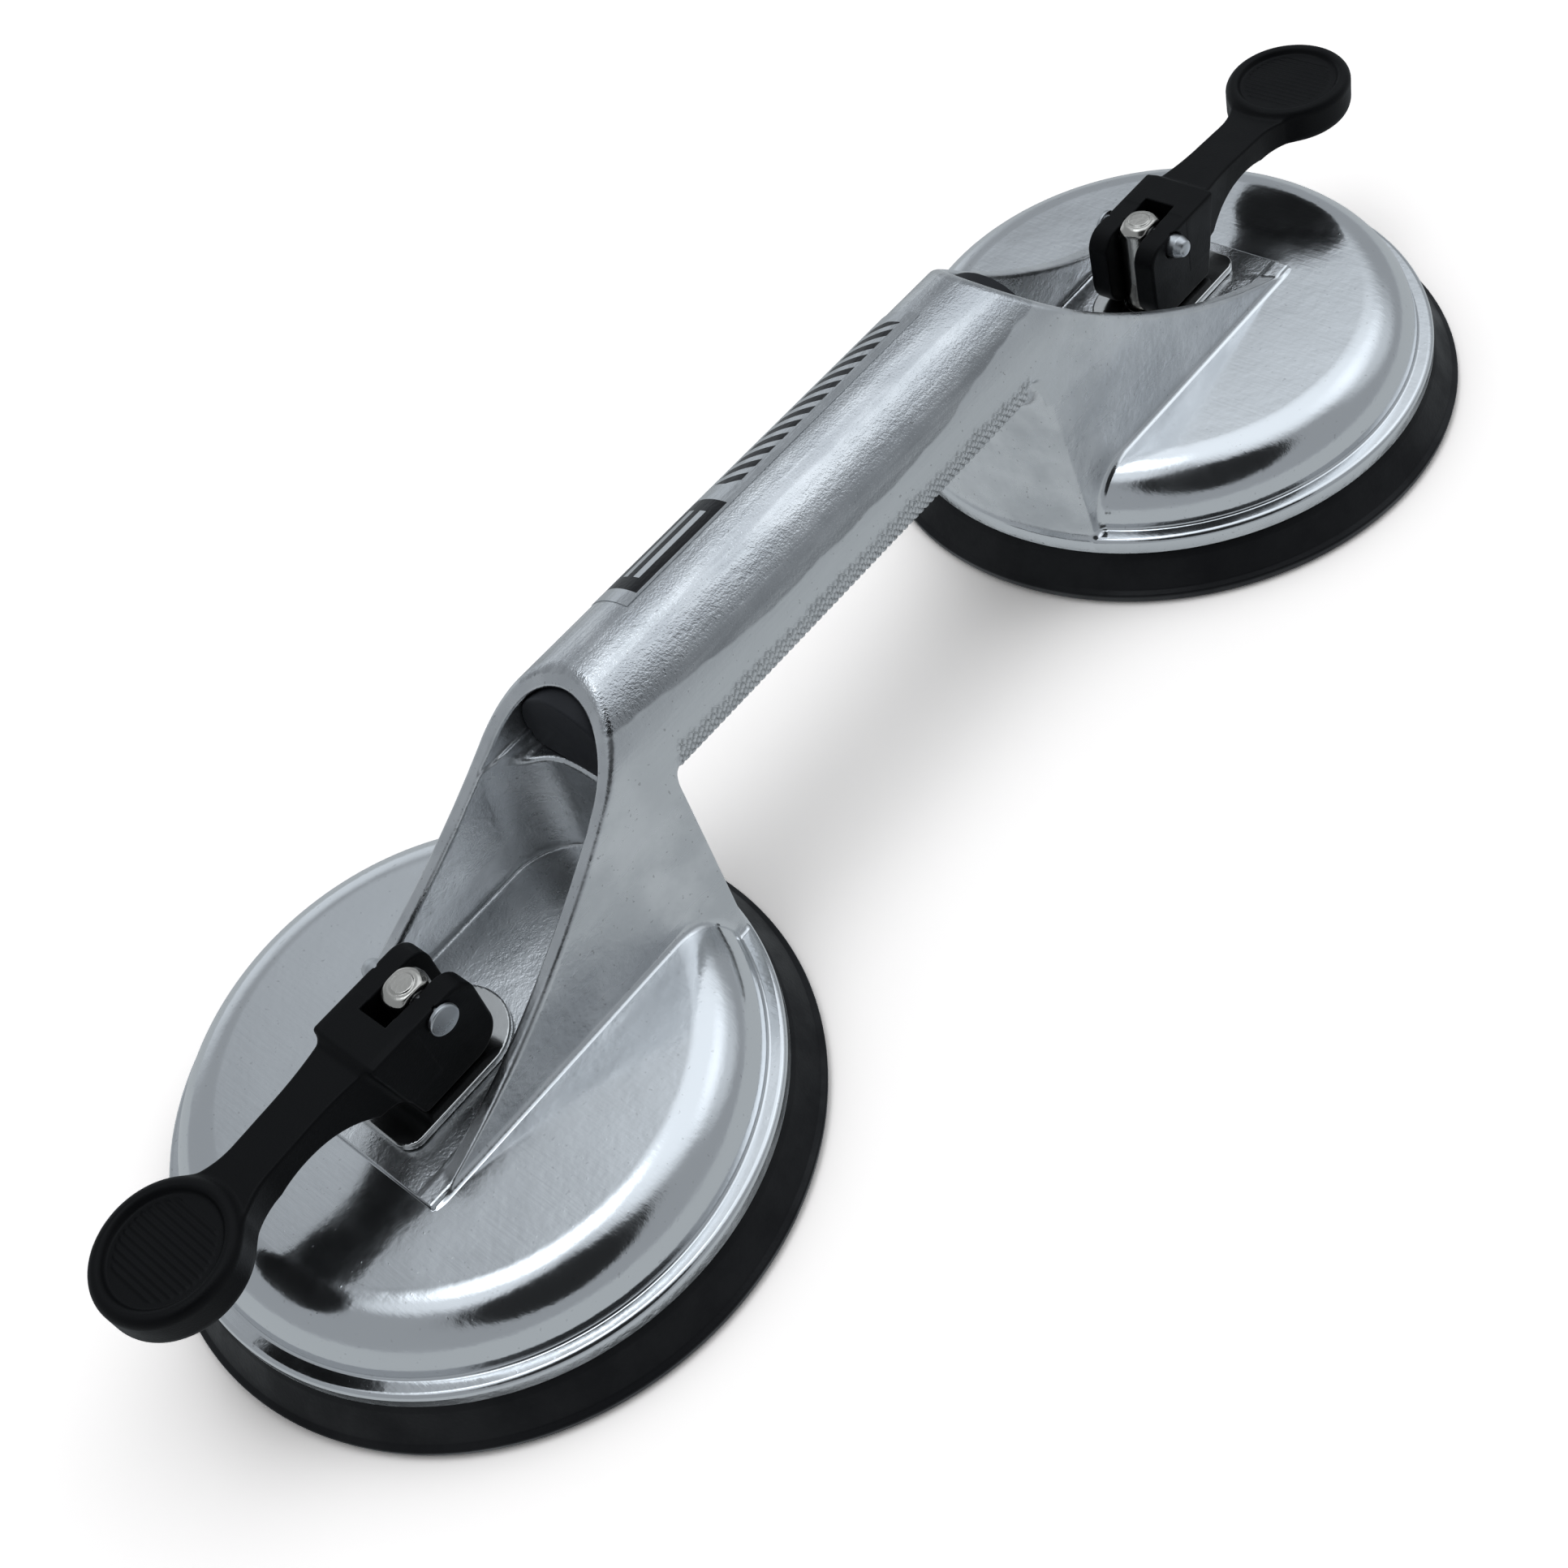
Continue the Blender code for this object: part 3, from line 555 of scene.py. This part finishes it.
def arm_side(u, v):
    """The arm seen from the side."""
    run = THUMB_U - THUMB_RADIUS - ARM_START
    fall = ARM_TOP / math.hypot(run, ARM_TOP)
    level = run / math.hypot(run, ARM_TOP)
    top = np.maximum((v - ARM_TOP) * level + (u - ARM_START) * fall, v - ARM_TOP)
    top = np.where(u > THUMB_U - THUMB_RADIUS, v, top)
    centre_u, centre_v, radius = ARM_HOLLOW
    hollow = radius - np.hypot(u - centre_u, v - centre_v)
    bottom = np.where(u < centre_u, -ARM_ROOT - v, THUMB_BOTTOM + 0.7 - v)
    return np.maximum(top, np.maximum(hollow, bottom))


def thumb_pad(u, y, v):
    from_middle = np.hypot(u - THUMB_U, y)
    pad = round_max(from_middle - THUMB_RIM, v - THUMB_TOP, 1.7)
    pad = round_max(pad, THUMB_BOTTOM - v, 2.2)
    wave = 0.5 + 0.5 * np.cos(math.tau * (u - THUMB_U + RIB_PITCH / 2.0) / RIB_PITCH)
    half = RIB_PITCH * RIB_COUNT / 2.0
    ends = np.clip((half - np.abs(u - THUMB_U)) / 0.3, 0.0, 1.0)
    ends = ends * np.clip((DISH_RADIUS - 1.0 - from_middle) / 0.6, 0.0, 1.0)
    floor = THUMB_TOP - DISH_DEPTH + 0.42 * wave * ends
    dish = round_max(from_middle - DISH_RADIUS, floor - v, 0.5)
    return round_max(pad, -dish, 1.1)


def lever_distance(x, y, z):
    u = -x
    side = np.abs(y)
    block = round_max(-CAM_INNER - u, -CAM_DROP - z, CAM_ROUND)
    block = round_max(block, z - BLOCK_TOP, CREST_ROUND)
    lean = math.hypot(BLOCK_OUTER - HEEL, BLOCK_TOP + CAM_DROP)
    outer = (u - BLOCK_OUTER) * (BLOCK_TOP + CAM_DROP) - (z - BLOCK_TOP) * (BLOCK_OUTER - HEEL)
    block = round_max(block, outer / lean, 0.9)
    block = round_max(block, side - BLOCK_HALF, 0.55)
    arm = round_max(arm_side(u, z), arm_plan(u, y), 0.6)
    arm = np.maximum(arm, ARM_START - 6.0 - u)
    lever = round_min(block, arm, 1.8)
    lever = round_min(lever, thumb_pad(u, y, z), 0.7)
    slot = np.maximum(side - SLOT_HALF, u - SLOT_END)
    lever = round_max(lever, -slot, 0.35)
    from_pin = np.hypot(x, z)
    lever = round_max(lever, BORE - from_pin, 0.2)
    bore = np.maximum(from_pin - COUNTERBORE, BLOCK_HALF - COUNTERBORE_DEPTH - y)
    return round_max(lever, -bore, 0.2)


def post_distance(x, y, z):
    """The post about its pin: round shank with two flats, chamfered head with a round face."""
    across = np.hypot(x, y)
    top = POST_HIGH.z - PIN_Z
    flats = round_max(np.abs(y) - 2.9, 24.9 - PIN_Z - z, 0.3)
    post = round_max(across - 4.1, np.where(z > 23.0 - PIN_Z, flats, -1e3), 0.5)
    chamfer = (across + z - (4.1 + top - 1.3)) / math.sqrt(2.0)
    post = round_max(post, chamfer, 0.3)
    post = round_max(post, z - top + 0.2, 0.3)
    face = round_max(across - 2.0, z - top, 0.15)
    post = round_min(post, np.maximum(face, top - 2.0 - z), 0.2)
    post = round_max(post, POST_LOW.z - PIN_Z - z, 0.2)
    return round_max(post, BORE - np.hypot(x, z), 0.2)


def washer_distance(x, y, z):
    """A cup's oblong wear plate, round towards the handle and square outward."""
    half = WASHER_HIGH.y
    plate = round_max(x - WASHER_HIGH.x - CUP_X, np.abs(y) - half, half)
    plate = round_max(plate, WASHER_LOW.x + CUP_X - x, 3.5)
    plate = round_max(plate, z - WASHER_HIGH.z, 0.35)
    plate = round_max(plate, WASHER_LOW.z - z, 0.25)
    return round_max(plate, POST_HOLE - np.hypot(x, y), 0.25)


def pad_outline():
    """Half section (radius, z, corner radius) of a rubber pad, from the axis below to the axis above."""
    radius = PAD_HIGH.y
    neck = LIP_RADIUS - 0.4
    top = PAD_HIGH.z
    return [
        (0.0, 1.8, 0.0),
        (44.5, 1.8, 1.5),
        (47.5, 0.0, 0.6),
        (radius - 0.4, 0.0, 0.4),
        (radius, 1.9, 0.5),
        (radius - 1.2, 2.5, 0.6),
        (neck + 0.9, 7.4, 1.2),
        (neck, top, 0.4),
        (48.0, top, 0.5),
        (45.5, 4.5, 1.5),
        (0.0, 4.5, 0.0),
    ]


def pin_outline():
    """Half section of a pivot pin, from its flat head to its domed end, along its own axis."""
    return [
        (0.0, PIN_LOW.y, 0.0),
        (2.9, PIN_LOW.y, 0.35),
        (2.9, PIN_LOW.y + 0.9, 0.15),
        (2.2, PIN_LOW.y + 0.9, 0.0),
        (2.2, PIN_HIGH.y - 1.9, 0.7),
        (1.5, PIN_HIGH.y - 0.2, 0.9),
        (0.0, PIN_HIGH.y, 0.0),
    ]


def plug_distance(x, y, z):
    """A handle plug about the handle's own axis, its face at -X."""
    inset = WALL + 0.3
    shape = round_max(arch(y, z, ARCH_RADIUS - inset), grip(y, z, inset), 0.2)
    return round_max(shape, np.maximum(PLUG_LOW.x - x, x - PLUG_HIGH.x), 0.35)


def place(name, mesh, turn, offset, body, node, slot, material):
    """Puts a mesh in place for one cup and hands it over to its CAD body."""
    obj = link(name, mesh)
    obj.matrix_world = Matrix.Translation(Vector(offset) * MM) @ Matrix.Rotation(turn, 4, "Z")
    if not mesh.materials:
        mesh.materials.append(material)
    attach(obj, body)
    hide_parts(node)
    return obj


def build_label(material):
    """The film on the handle's crest, as a thin curved sheet."""
    inner = ARCH_RADIUS + 0.03
    outer = inner + 0.1
    low = math.atan2(LABEL_LOW.z - ARCH_Z, LABEL_HIGH.y)
    high = math.acos(max(LABEL_LOW.y, 0.0) / outer)
    columns = np.linspace(LABEL_LOW.x, LABEL_HIGH.x, 80)
    angles = np.linspace(low, high, 60)
    a, s = np.meshgrid(angles, columns, indexing="ij")
    layers = []
    for radius in (inner, outer):
        layers.append(np.stack([s, radius * np.cos(a), ARCH_Z + radius * np.sin(a)], 2).reshape(-1, 3))
    grid = np.arange(a.size).reshape(a.shape)
    back = a.size
    sheet = np.stack([grid[:-1, :-1], grid[1:, :-1], grid[1:, 1:], grid[:-1, 1:]], 2).reshape(-1, 4)
    border = np.concatenate([grid[:, 0], grid[-1, 1:], grid[-2::-1, -1], grid[0, -2:0:-1]])
    after = np.roll(border, -1)
    walls = np.stack([border, after, after + back, border + back], 1)
    faces = np.concatenate([sheet, sheet[:, ::-1] + back, walls])
    mesh = fill_mesh("crest_label", np.concatenate(layers), faces)
    mesh.set_sharp_from_angle(angle=math.radians(40.0))
    mesh.materials.append(material)
    label = link("crest_label", mesh)
    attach(label, "casting")
    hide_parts("handle_label")


# Materials


def node(tree, kind, inputs=None, **settings):
    made = tree.nodes.new("ShaderNode" + kind)
    for key, value in settings.items():
        setattr(made, key, value)
    for key, value in (inputs or {}).items():
        if isinstance(value, bpy.types.NodeSocket):
            tree.links.new(value, made.inputs[key])
        else:
            made.inputs[key].default_value = value
    return made


def math_node(tree, operation, a, b=0.0, clamp=False):
    return node(tree, "Math", {0: a, 1: b}, operation=operation, use_clamp=clamp).outputs[0]


def mixed(tree, share, a, b):
    """Goes from a to b as the share goes from 0 to 1."""
    return node(tree, "Mix", {0: share, 2: a, 3: b}).outputs[0]


def mixed_colour(tree, share, a, b):
    return node(tree, "Mix", {0: share, 6: a, 7: b}, data_type="RGBA").outputs[2]


def ramp(tree, value, low, high, start=0.0, end=1.0):
    inputs = {0: value, 1: low, 2: high, 3: start, 4: end}
    return node(tree, "MapRange", inputs, interpolation_type="SMOOTHSTEP").outputs[0]


def noise(tree, place, size, detail=3.0, stretch=None):
    """Noise with features of about this size in millimetres."""
    vector = place
    if stretch:
        vector = node(tree, "Mapping", {"Vector": place, "Scale": stretch}).outputs[0]
    inputs = {"Vector": vector, "Scale": 1.0 / (size * MM), "Detail": detail, "Roughness": 0.6}
    return node(tree, "TexNoise", inputs).outputs[0]


def new_material(name):
    made = bpy.data.materials.new(name)
    made.use_nodes = True
    tree = made.node_tree
    place = tree.nodes.new("ShaderNodeTexCoord").outputs["Object"]
    return made, tree, tree.nodes["Principled BSDF"], place


def connect(tree, shader, **values):
    for key, value in values.items():
        socket = shader.inputs[key.replace("_", " ")]
        if isinstance(value, bpy.types.NodeSocket):
            tree.links.new(value, socket)
        else:
            socket.default_value = value


def bumped(tree, height, depth, strength=1.0, before=None):
    """A bump of this depth in millimetres."""
    inputs = {"Height": height, "Distance": depth * MM, "Strength": strength}
    if before:
        inputs["Normal"] = before
    return node(tree, "Bump", inputs).outputs[0]


def above_side_band(tree, place):
    """Height above the wavy upper edge of the handle's brushed sides."""
    axes = node(tree, "SeparateXYZ", {0: place})
    reach = math_node(tree, "ABSOLUTE", axes.outputs[0])
    rise = math_node(tree, "MULTIPLY", math_node(tree, "SUBTRACT", reach, 22.0 * MM), 0.12)
    rise = math_node(tree, "MAXIMUM", rise, 0.0)
    wobble = noise(tree, place, 11.0, 2.0, (1.0, 0.3, 0.3))
    wobble = math_node(tree, "MULTIPLY", math_node(tree, "SUBTRACT", wobble, 0.5), 2.6 * MM)
    edge = math_node(tree, "ADD", math_node(tree, "ADD", rise, wobble), 59.6 * MM)
    return math_node(tree, "SUBTRACT", axes.outputs[2], edge)


def cast_aluminium():
    made, tree, shader, place = new_material("scene_cast_aluminium")
    zones = node(tree, "Attribute", attribute_name="zones")
    split = node(tree, "SeparateColor", {0: zones.outputs["Color"]})
    bell, handle, pocket = split.outputs[0], split.outputs[1], split.outputs[2]
    under = zones.outputs["Alpha"]
    over = above_side_band(tree, place)
    band = math_node(tree, "MULTIPLY", ramp(tree, over, -0.25 * MM, 0.25 * MM, 1.0, 0.0), handle)
    crest = math_node(tree, "SUBTRACT", handle, band, True)
    fine = noise(tree, place, 0.42, 2.0)
    grain = noise(tree, place, 1.3, 3.0)
    pits = ramp(tree, noise(tree, place, 1.0, 1.0), 0.72, 0.80)
    blotch = noise(tree, place, 14.0, 4.0)
    flow = noise(tree, place, 9.0, 3.0, (0.35, 1.0, 1.0))
    streaks = noise(tree, place, 2.6, 3.0, (0.07, 1.0, 1.0))
    scratches = noise(tree, place, 0.5, 2.0, (0.05, 1.0, 1.0))
    brushed = noise(tree, place, 0.7, 2.0, (1.0, 0.06, 1.0))
    speck = ramp(tree, noise(tree, place, 0.8, 1.0), 0.71, 0.76)
    patches = ramp(tree, blotch, 0.35, 0.7)
    colour = mixed_colour(tree, patches, (0.70, 0.715, 0.73, 1.0), (0.87, 0.88, 0.89, 1.0))
    colour = mixed_colour(tree, bell, colour, (0.83, 0.845, 0.86, 1.0))
    colour = mixed_colour(tree, band, colour, (0.80, 0.815, 0.825, 1.0))
    colour = mixed_colour(tree, under, colour, (0.5, 0.51, 0.52, 1.0))
    # Knurl grooves darkened in colour: partly real dirt in them, partly painted shade in the grooves.
    groove = node(tree, "Attribute", attribute_name="groove").outputs["Fac"]
    colour = mixed_colour(tree, math_node(tree, "MULTIPLY", groove, 0.75), colour, (0.12, 0.125, 0.13, 1.0))
    # Painted reflection: dark streaks along the handle darken the crest's colour, standing in for banding in its
    # highlight.
    painted_streaks = ramp(tree, streaks, 0.38, 0.62, 0.42, 0.0)
    colour = mixed_colour(tree, math_node(tree, "MULTIPLY", painted_streaks, crest), colour, (0.36, 0.37, 0.39, 1.0))
    # Painted shade: the crest is darkened in a band just above the brushed sides, standing in for a dark reflection
    # there.
    painted_dark_band = math_node(tree, "MULTIPLY", ramp(tree, over, 0.5 * MM, 5.0 * MM, 0.5, 0.0), crest)
    colour = mixed_colour(tree, painted_dark_band, colour, (0.34, 0.35, 0.36, 1.0))
    dirt = math_node(tree, "MULTIPLY", speck, mixed(tree, bell, 0.5, 0.25))
    colour = mixed_colour(tree, dirt, colour, (0.35, 0.35, 0.35, 1.0))
    rough = ramp(tree, flow, 0.35, 0.65, 0.22, 0.38)
    rough = mixed(tree, crest, rough, ramp(tree, streaks, 0.3, 0.7, 0.12, 0.22))
    rough = mixed(tree, band, rough, ramp(tree, scratches, 0.3, 0.7, 0.34, 0.46))
    rough = mixed(tree, pocket, rough, ramp(tree, flow, 0.3, 0.7, 0.2, 0.32))
    rough = mixed(tree, bell, rough, ramp(tree, patches, 0.0, 1.0, 0.12, 0.19))
    rough = mixed(tree, under, rough, 0.5)
    tumbled = math_node(tree, "MAXIMUM", crest, math_node(tree, "MULTIPLY", pocket, 0.45))
    fine_share = mixed(tree, bell, mixed(tree, tumbled, 0.15, 0.9), 0.02)
    grain_share = mixed(tree, bell, mixed(tree, tumbled, 0.25, 0.28), 0.04)
    normal = bumped(tree, grain, 0.25, grain_share)
    normal = bumped(tree, fine, 0.11, fine_share, normal)
    normal = bumped(tree, blotch, 0.9, mixed(tree, bell, 0.35, 0.12), normal)
    normal = bumped(tree, streaks, 0.3, mixed(tree, crest, 0.0, 0.3), normal)
    normal = bumped(tree, scratches, 0.08, mixed(tree, band, 0.0, 0.6), normal)
    normal = bumped(tree, brushed, 0.04, mixed(tree, bell, 0.0, 0.3), normal)
    normal = bumped(tree, pits, 0.1, mixed(tree, bell, 0.15, 0.1), normal)
    connect(tree, shader, Base_Color=colour, Metallic=1.0, Roughness=rough, Normal=normal)
    return made


def plain_metal(name, colour, rough, grain_size, depth, stretch=None):
    made, tree, shader, place = new_material(name)
    grain = noise(tree, place, grain_size, 3.0, stretch)
    wide = noise(tree, place, 6.0, 3.0)
    shade = mixed_colour(tree, wide, (*(0.85 * c for c in colour), 1.0), (*colour, 1.0))
    roughness = ramp(tree, wide, 0.3, 0.7, 0.8 * rough, 1.25 * rough)
    normal = bumped(tree, grain, depth, 0.6)
    connect(tree, shader, Base_Color=shade, Metallic=1.0, Roughness=roughness, Normal=normal)
    return made


def black_plastic(name, shades, roughness, shine):
    made, tree, shader, place = new_material(name)
    fine = noise(tree, place, 0.35, 2.0)
    wide = noise(tree, place, 7.0, 3.0)
    shade = mixed_colour(tree, wide, *((0.92 * c, 0.96 * c, 1.15 * c, 1.0) for c in shades))
    rough = ramp(tree, wide, 0.3, 0.7, roughness - 0.05, roughness + 0.05)
    normal = bumped(tree, fine, 0.07, 0.5)
    connect(tree, shader, Base_Color=shade, Roughness=rough, Normal=normal, Specular_IOR_Level=shine)
    return made


def black_rubber():
    made, tree, shader, place = new_material("scene_black_rubber")
    fine = noise(tree, place, 0.7, 3.0)
    wide = noise(tree, place, 12.0, 4.0)
    shade = mixed_colour(tree, wide, (0.004, 0.004, 0.005, 1.0), (0.008, 0.008, 0.0095, 1.0))
    rough = ramp(tree, wide, 0.3, 0.7, 0.36, 0.5)
    shine = ramp(tree, wide, 0.3, 0.7, 0.36, 0.22)
    normal = bumped(tree, fine, 0.08, 0.5)
    connect(tree, shader, Base_Color=shade, Roughness=rough, Normal=normal, Specular_IOR_Level=shine)
    return made


def label_film():
    """Clear film over the metal, printed with a plain block and slanted bars."""
    made, tree, shader, place = new_material("scene_label_film")
    axes = node(tree, "SeparateXYZ", {0: place})
    x = math_node(tree, "DIVIDE", axes.outputs[0], MM)
    rise = math_node(tree, "SUBTRACT", axes.outputs[2], ARCH_Z * MM)
    angle = math_node(tree, "ARCTAN2", rise, axes.outputs[1])
    middle = math.radians(65.0)
    across = math_node(tree, "MULTIPLY", math_node(tree, "SUBTRACT", angle, middle), ARCH_RADIUS)

    def band(value, low, high):
        above = math_node(tree, "GREATER_THAN", value, low)
        return math_node(tree, "MULTIPLY", above, math_node(tree, "LESS_THAN", value, high))

    block = math_node(tree, "MULTIPLY", band(x, -34.0, -11.0), band(across, -4.9, 4.9))
    groove = math_node(tree, "ABSOLUTE", across)
    inside = math_node(tree, "MULTIPLY", band(x, -31.0, -14.0), band(groove, 0.9, 2.5))
    block = math_node(tree, "MULTIPLY", block, math_node(tree, "SUBTRACT", 1.0, inside))
    slanted = math_node(tree, "SUBTRACT", x, math_node(tree, "MULTIPLY", across, 0.5))
    repeat = math_node(tree, "FRACT", math_node(tree, "DIVIDE", slanted, 3.6))
    bars = math_node(tree, "MULTIPLY", math_node(tree, "LESS_THAN", repeat, 0.55), band(across, -3.3, 3.3))
    bars = math_node(tree, "MULTIPLY", bars, band(x, -7.0, 38.0))
    ink = math_node(tree, "MAXIMUM", block, bars)
    wide = noise(tree, place, 9.0, 3.0)
    film = mixed_colour(tree, wide, (0.56, 0.575, 0.59, 1.0), (0.70, 0.71, 0.72, 1.0))
    colour = mixed_colour(tree, ink, film, (0.012, 0.012, 0.014, 1.0))
    normal = bumped(tree, noise(tree, place, 1.3, 3.0), 0.25, 0.4)
    normal = bumped(tree, noise(tree, place, 2.4, 3.0, (0.12, 1.0, 1.0)), 0.35, 0.4, normal)
    metallic = math_node(tree, "SUBTRACT", 1.0, ink)
    rough = mixed(tree, ink, ramp(tree, wide, 0.3, 0.7, 0.2, 0.28), 0.3)
    connect(tree, shader, Base_Color=colour, Metallic=metallic, Roughness=rough, Normal=normal)
    connect(tree, shader, Specular_IOR_Level=0.2)
    return made


def build_object():
    aluminium = cast_aluminium()
    plastic = black_plastic("scene_lever_plastic", (0.002, 0.0045), 0.47, 0.15)
    plug_plastic = black_plastic("scene_plug_plastic", (0.014, 0.030), 0.6, 0.28)
    rubber = black_rubber()
    nickel = plain_metal("scene_nickel", (0.72, 0.69, 0.64), 0.2, 0.8, 0.06)
    zinc = plain_metal("scene_zinc", (0.66, 0.68, 0.70), 0.32, 0.5, 0.05)
    steel = plain_metal("scene_washer_steel", (0.72, 0.72, 0.71), 0.16, 0.5, 0.02)
    plate = plain_metal("scene_plate_steel", (0.45, 0.46, 0.47), 0.4, 0.9, 0.06)
    build_casting(aluminium)
    build_knurl(-1.0, aluminium)
    build_knurl(1.0, aluminium)
    build_label(label_film())

    lever = solid("lever", lever_distance, (-66.0, -13.0, -15.5), (8.0, 13.0, 3.5), 0.3)
    post = solid("post", post_distance, (-9.0, -9.0, POST_LOW.z - PIN_Z), (9.0, 9.0, POST_HIGH.z - PIN_Z), 0.2)
    low = (WASHER_LOW.x + CUP_X, WASHER_LOW.y, WASHER_LOW.z)
    high = (WASHER_HIGH.x + CUP_X, WASHER_HIGH.y, WASHER_HIGH.z)
    washer = solid("washer", washer_distance, low, high, 0.35)
    plug = solid("plug", plug_distance, PLUG_LOW, PLUG_HIGH, 0.35)
    pad = turned("rubber_pad", rounded(pad_outline()))
    pin = turned("pivot_pin", rounded(pin_outline()), 64)
    pin.transform(Matrix.Rotation(-math.pi / 2.0, 4, "X"))

    for prefix, turn, x in (("left", 0.0, -CUP_X), ("right", math.pi, CUP_X)):
        base = (x, 0.0, 0.0)
        pivot = (x, 0.0, PIN_Z)
        post_body = f"{prefix}_post"
        lever_body = f"{prefix}_lever"
        place(f"{prefix}_lever_shell", lever, turn, pivot, lever_body, f"{prefix}_lever", "black_plastic", plastic)
        place(f"{prefix}_post_bar", post, turn, pivot, post_body, f"{prefix}_post", "plated_post", nickel)
        place(f"{prefix}_pin_bar", pin, turn, pivot, post_body, f"{prefix}_pivot_pin", "zinc_pin", zinc)
        place(f"{prefix}_washer_plate", washer, turn, base, "casting", f"{prefix}_wear_washer", "washer_steel", steel)
        place(f"{prefix}_pad_disc", pad, turn, base, "casting", f"{prefix}_rubber_pad", "black_rubber", rubber)
        zero = (0.0, 0.0, 0.0)
        place(f"{prefix}_plug_cap", plug, turn, zero, "casting", f"{prefix}_handle_plug", "black_plastic", plug_plastic)
        shown = frame["nodes"][f"{prefix}_backing_plate"]
        for slot in shown.material_slots:
            slot.material = plate


# Studio


def lobe(tree, direction, azimuth, elevation, inner, outer, strength):
    """A soft round patch of light in the surroundings, its sizes in degrees."""
    az, el = math.radians(azimuth), math.radians(elevation)
    aim = (math.cos(el) * math.cos(az), math.cos(el) * math.sin(az), math.sin(el))
    dot = node(tree, "VectorMath", {0: direction, 1: aim}, operation="DOT_PRODUCT").outputs["Value"]
    edge, core = math.cos(math.radians(outer)), math.cos(math.radians(inner))
    return ramp(tree, dot, edge, core, 0.0, strength)


def build_world():
    world = bpy.data.worlds.new("studio")
    bpy.context.scene.world = world
    world.use_nodes = True
    tree = world.node_tree
    direction = node(tree, "TexCoord").outputs["Generated"]
    up = node(tree, "SeparateXYZ", {0: direction}).outputs[2]
    level = ramp(tree, up, -0.1, 0.1, 0.45, 0.33)
    lights = (
        (3.0, 63.0, 10.0, 38.0, 0.66),
        (-22.0, 36.0, 6.0, 26.0, 0.30),
        (95.0, 77.0, 5.0, 16.0, 1.3),
        (160.0, 72.0, 5.0, 20.0, 0.5),
        (-118.0, 49.0, 17.0, 30.0, -0.7),
        (75.0, 4.0, 6.0, 30.0, 0.35),
        (60.0, 50.0, 6.0, 20.0, 0.12),
    )
    for azimuth, elevation, inner, outer, strength in lights:
        patch = lobe(tree, direction, azimuth, elevation, inner, outer, strength)
        level = math_node(tree, "ADD", level, patch)
    level = math_node(tree, "MAXIMUM", level, 0.02)
    camera_ray = node(tree, "LightPath").outputs["Is Camera Ray"]
    seen = mixed(tree, camera_ray, level, 1.2)
    background = tree.nodes["Background"]
    background.inputs["Color"].default_value = (0.93, 1.0, 1.07, 1.0)
    tree.links.new(seen, background.inputs["Strength"])


def build_floor():
    """A pale floor that the camera sees as white with soft shadows, and the metal as grey."""
    size = 4.0
    level = -0.05 * MM
    corners = [(-size, -size, level), (size, -size, level), (size, size, level), (-size, size, level)]
    mesh = bpy.data.meshes.new("floor")
    mesh.from_pydata(corners, [], [(0, 1, 2, 3)])
    made, tree = new_material("scene_floor")[:2]
    # Painted shadow: the camera's view of the floor is darkened by ambient occlusion within 44 mm of the parts, on top
    # of the real soft shadows.
    near = node(tree, "AmbientOcclusion", {"Distance": 44.0 * MM}, samples=8).outputs["AO"]
    near = ramp(tree, near, 0.0, 1.0)
    pale = mixed_colour(tree, near, (1.35, 1.25, 1.17, 1.0), (2.26, 2.09, 1.96, 1.0))
    white = node(tree, "BsdfDiffuse", {"Color": pale})
    grey = node(tree, "Emission", {"Color": (0.93, 1.0, 1.05, 1.0), "Strength": 0.45})
    path = node(tree, "LightPath")
    seen = node(tree, "MixShader", {0: path.outputs["Is Camera Ray"], 1: grey.outputs[0], 2: white.outputs[0]})
    output = [n for n in tree.nodes if n.type == "OUTPUT_MATERIAL"][0]
    tree.links.new(seen.outputs[0], output.inputs["Surface"])
    mesh.materials.append(made)
    link("floor", mesh)


def build_camera():
    """The photo's viewing angle: from above the left cup, rolled so that the handle runs corner to corner."""
    camera = bpy.data.objects.new("camera", bpy.data.cameras.new("camera"))
    bpy.context.scene.collection.objects.link(camera)
    azimuth, elevation, roll = (math.radians(a) for a in (-33.73, 49.64, -20.49))
    back = Vector((
        math.cos(elevation) * math.sin(azimuth),
        -math.cos(elevation) * math.cos(azimuth),
        math.sin(elevation),
    ))
    right = Vector((math.cos(azimuth), math.sin(azimuth), 0.0))
    up = back.cross(right)
    turned_right = right * math.cos(roll) + up * math.sin(roll)
    turned_up = up * math.cos(roll) - right * math.sin(roll)
    axes = Matrix((turned_right, turned_up, back)).transposed()
    camera.matrix_world = Matrix.Translation(Vector((-159.8, -207.6, 297.9)) * MM) @ axes.to_4x4()
    camera.data.sensor_width = 36.0
    camera.data.lens = 47.12
    camera.data.clip_start = 0.01
    bpy.context.scene.camera = camera


def build_stage():
    build_world()
    build_floor()
    build_camera()
    scene = bpy.context.scene
    scene.view_settings.view_transform = "Standard"


build_object()
build_stage()
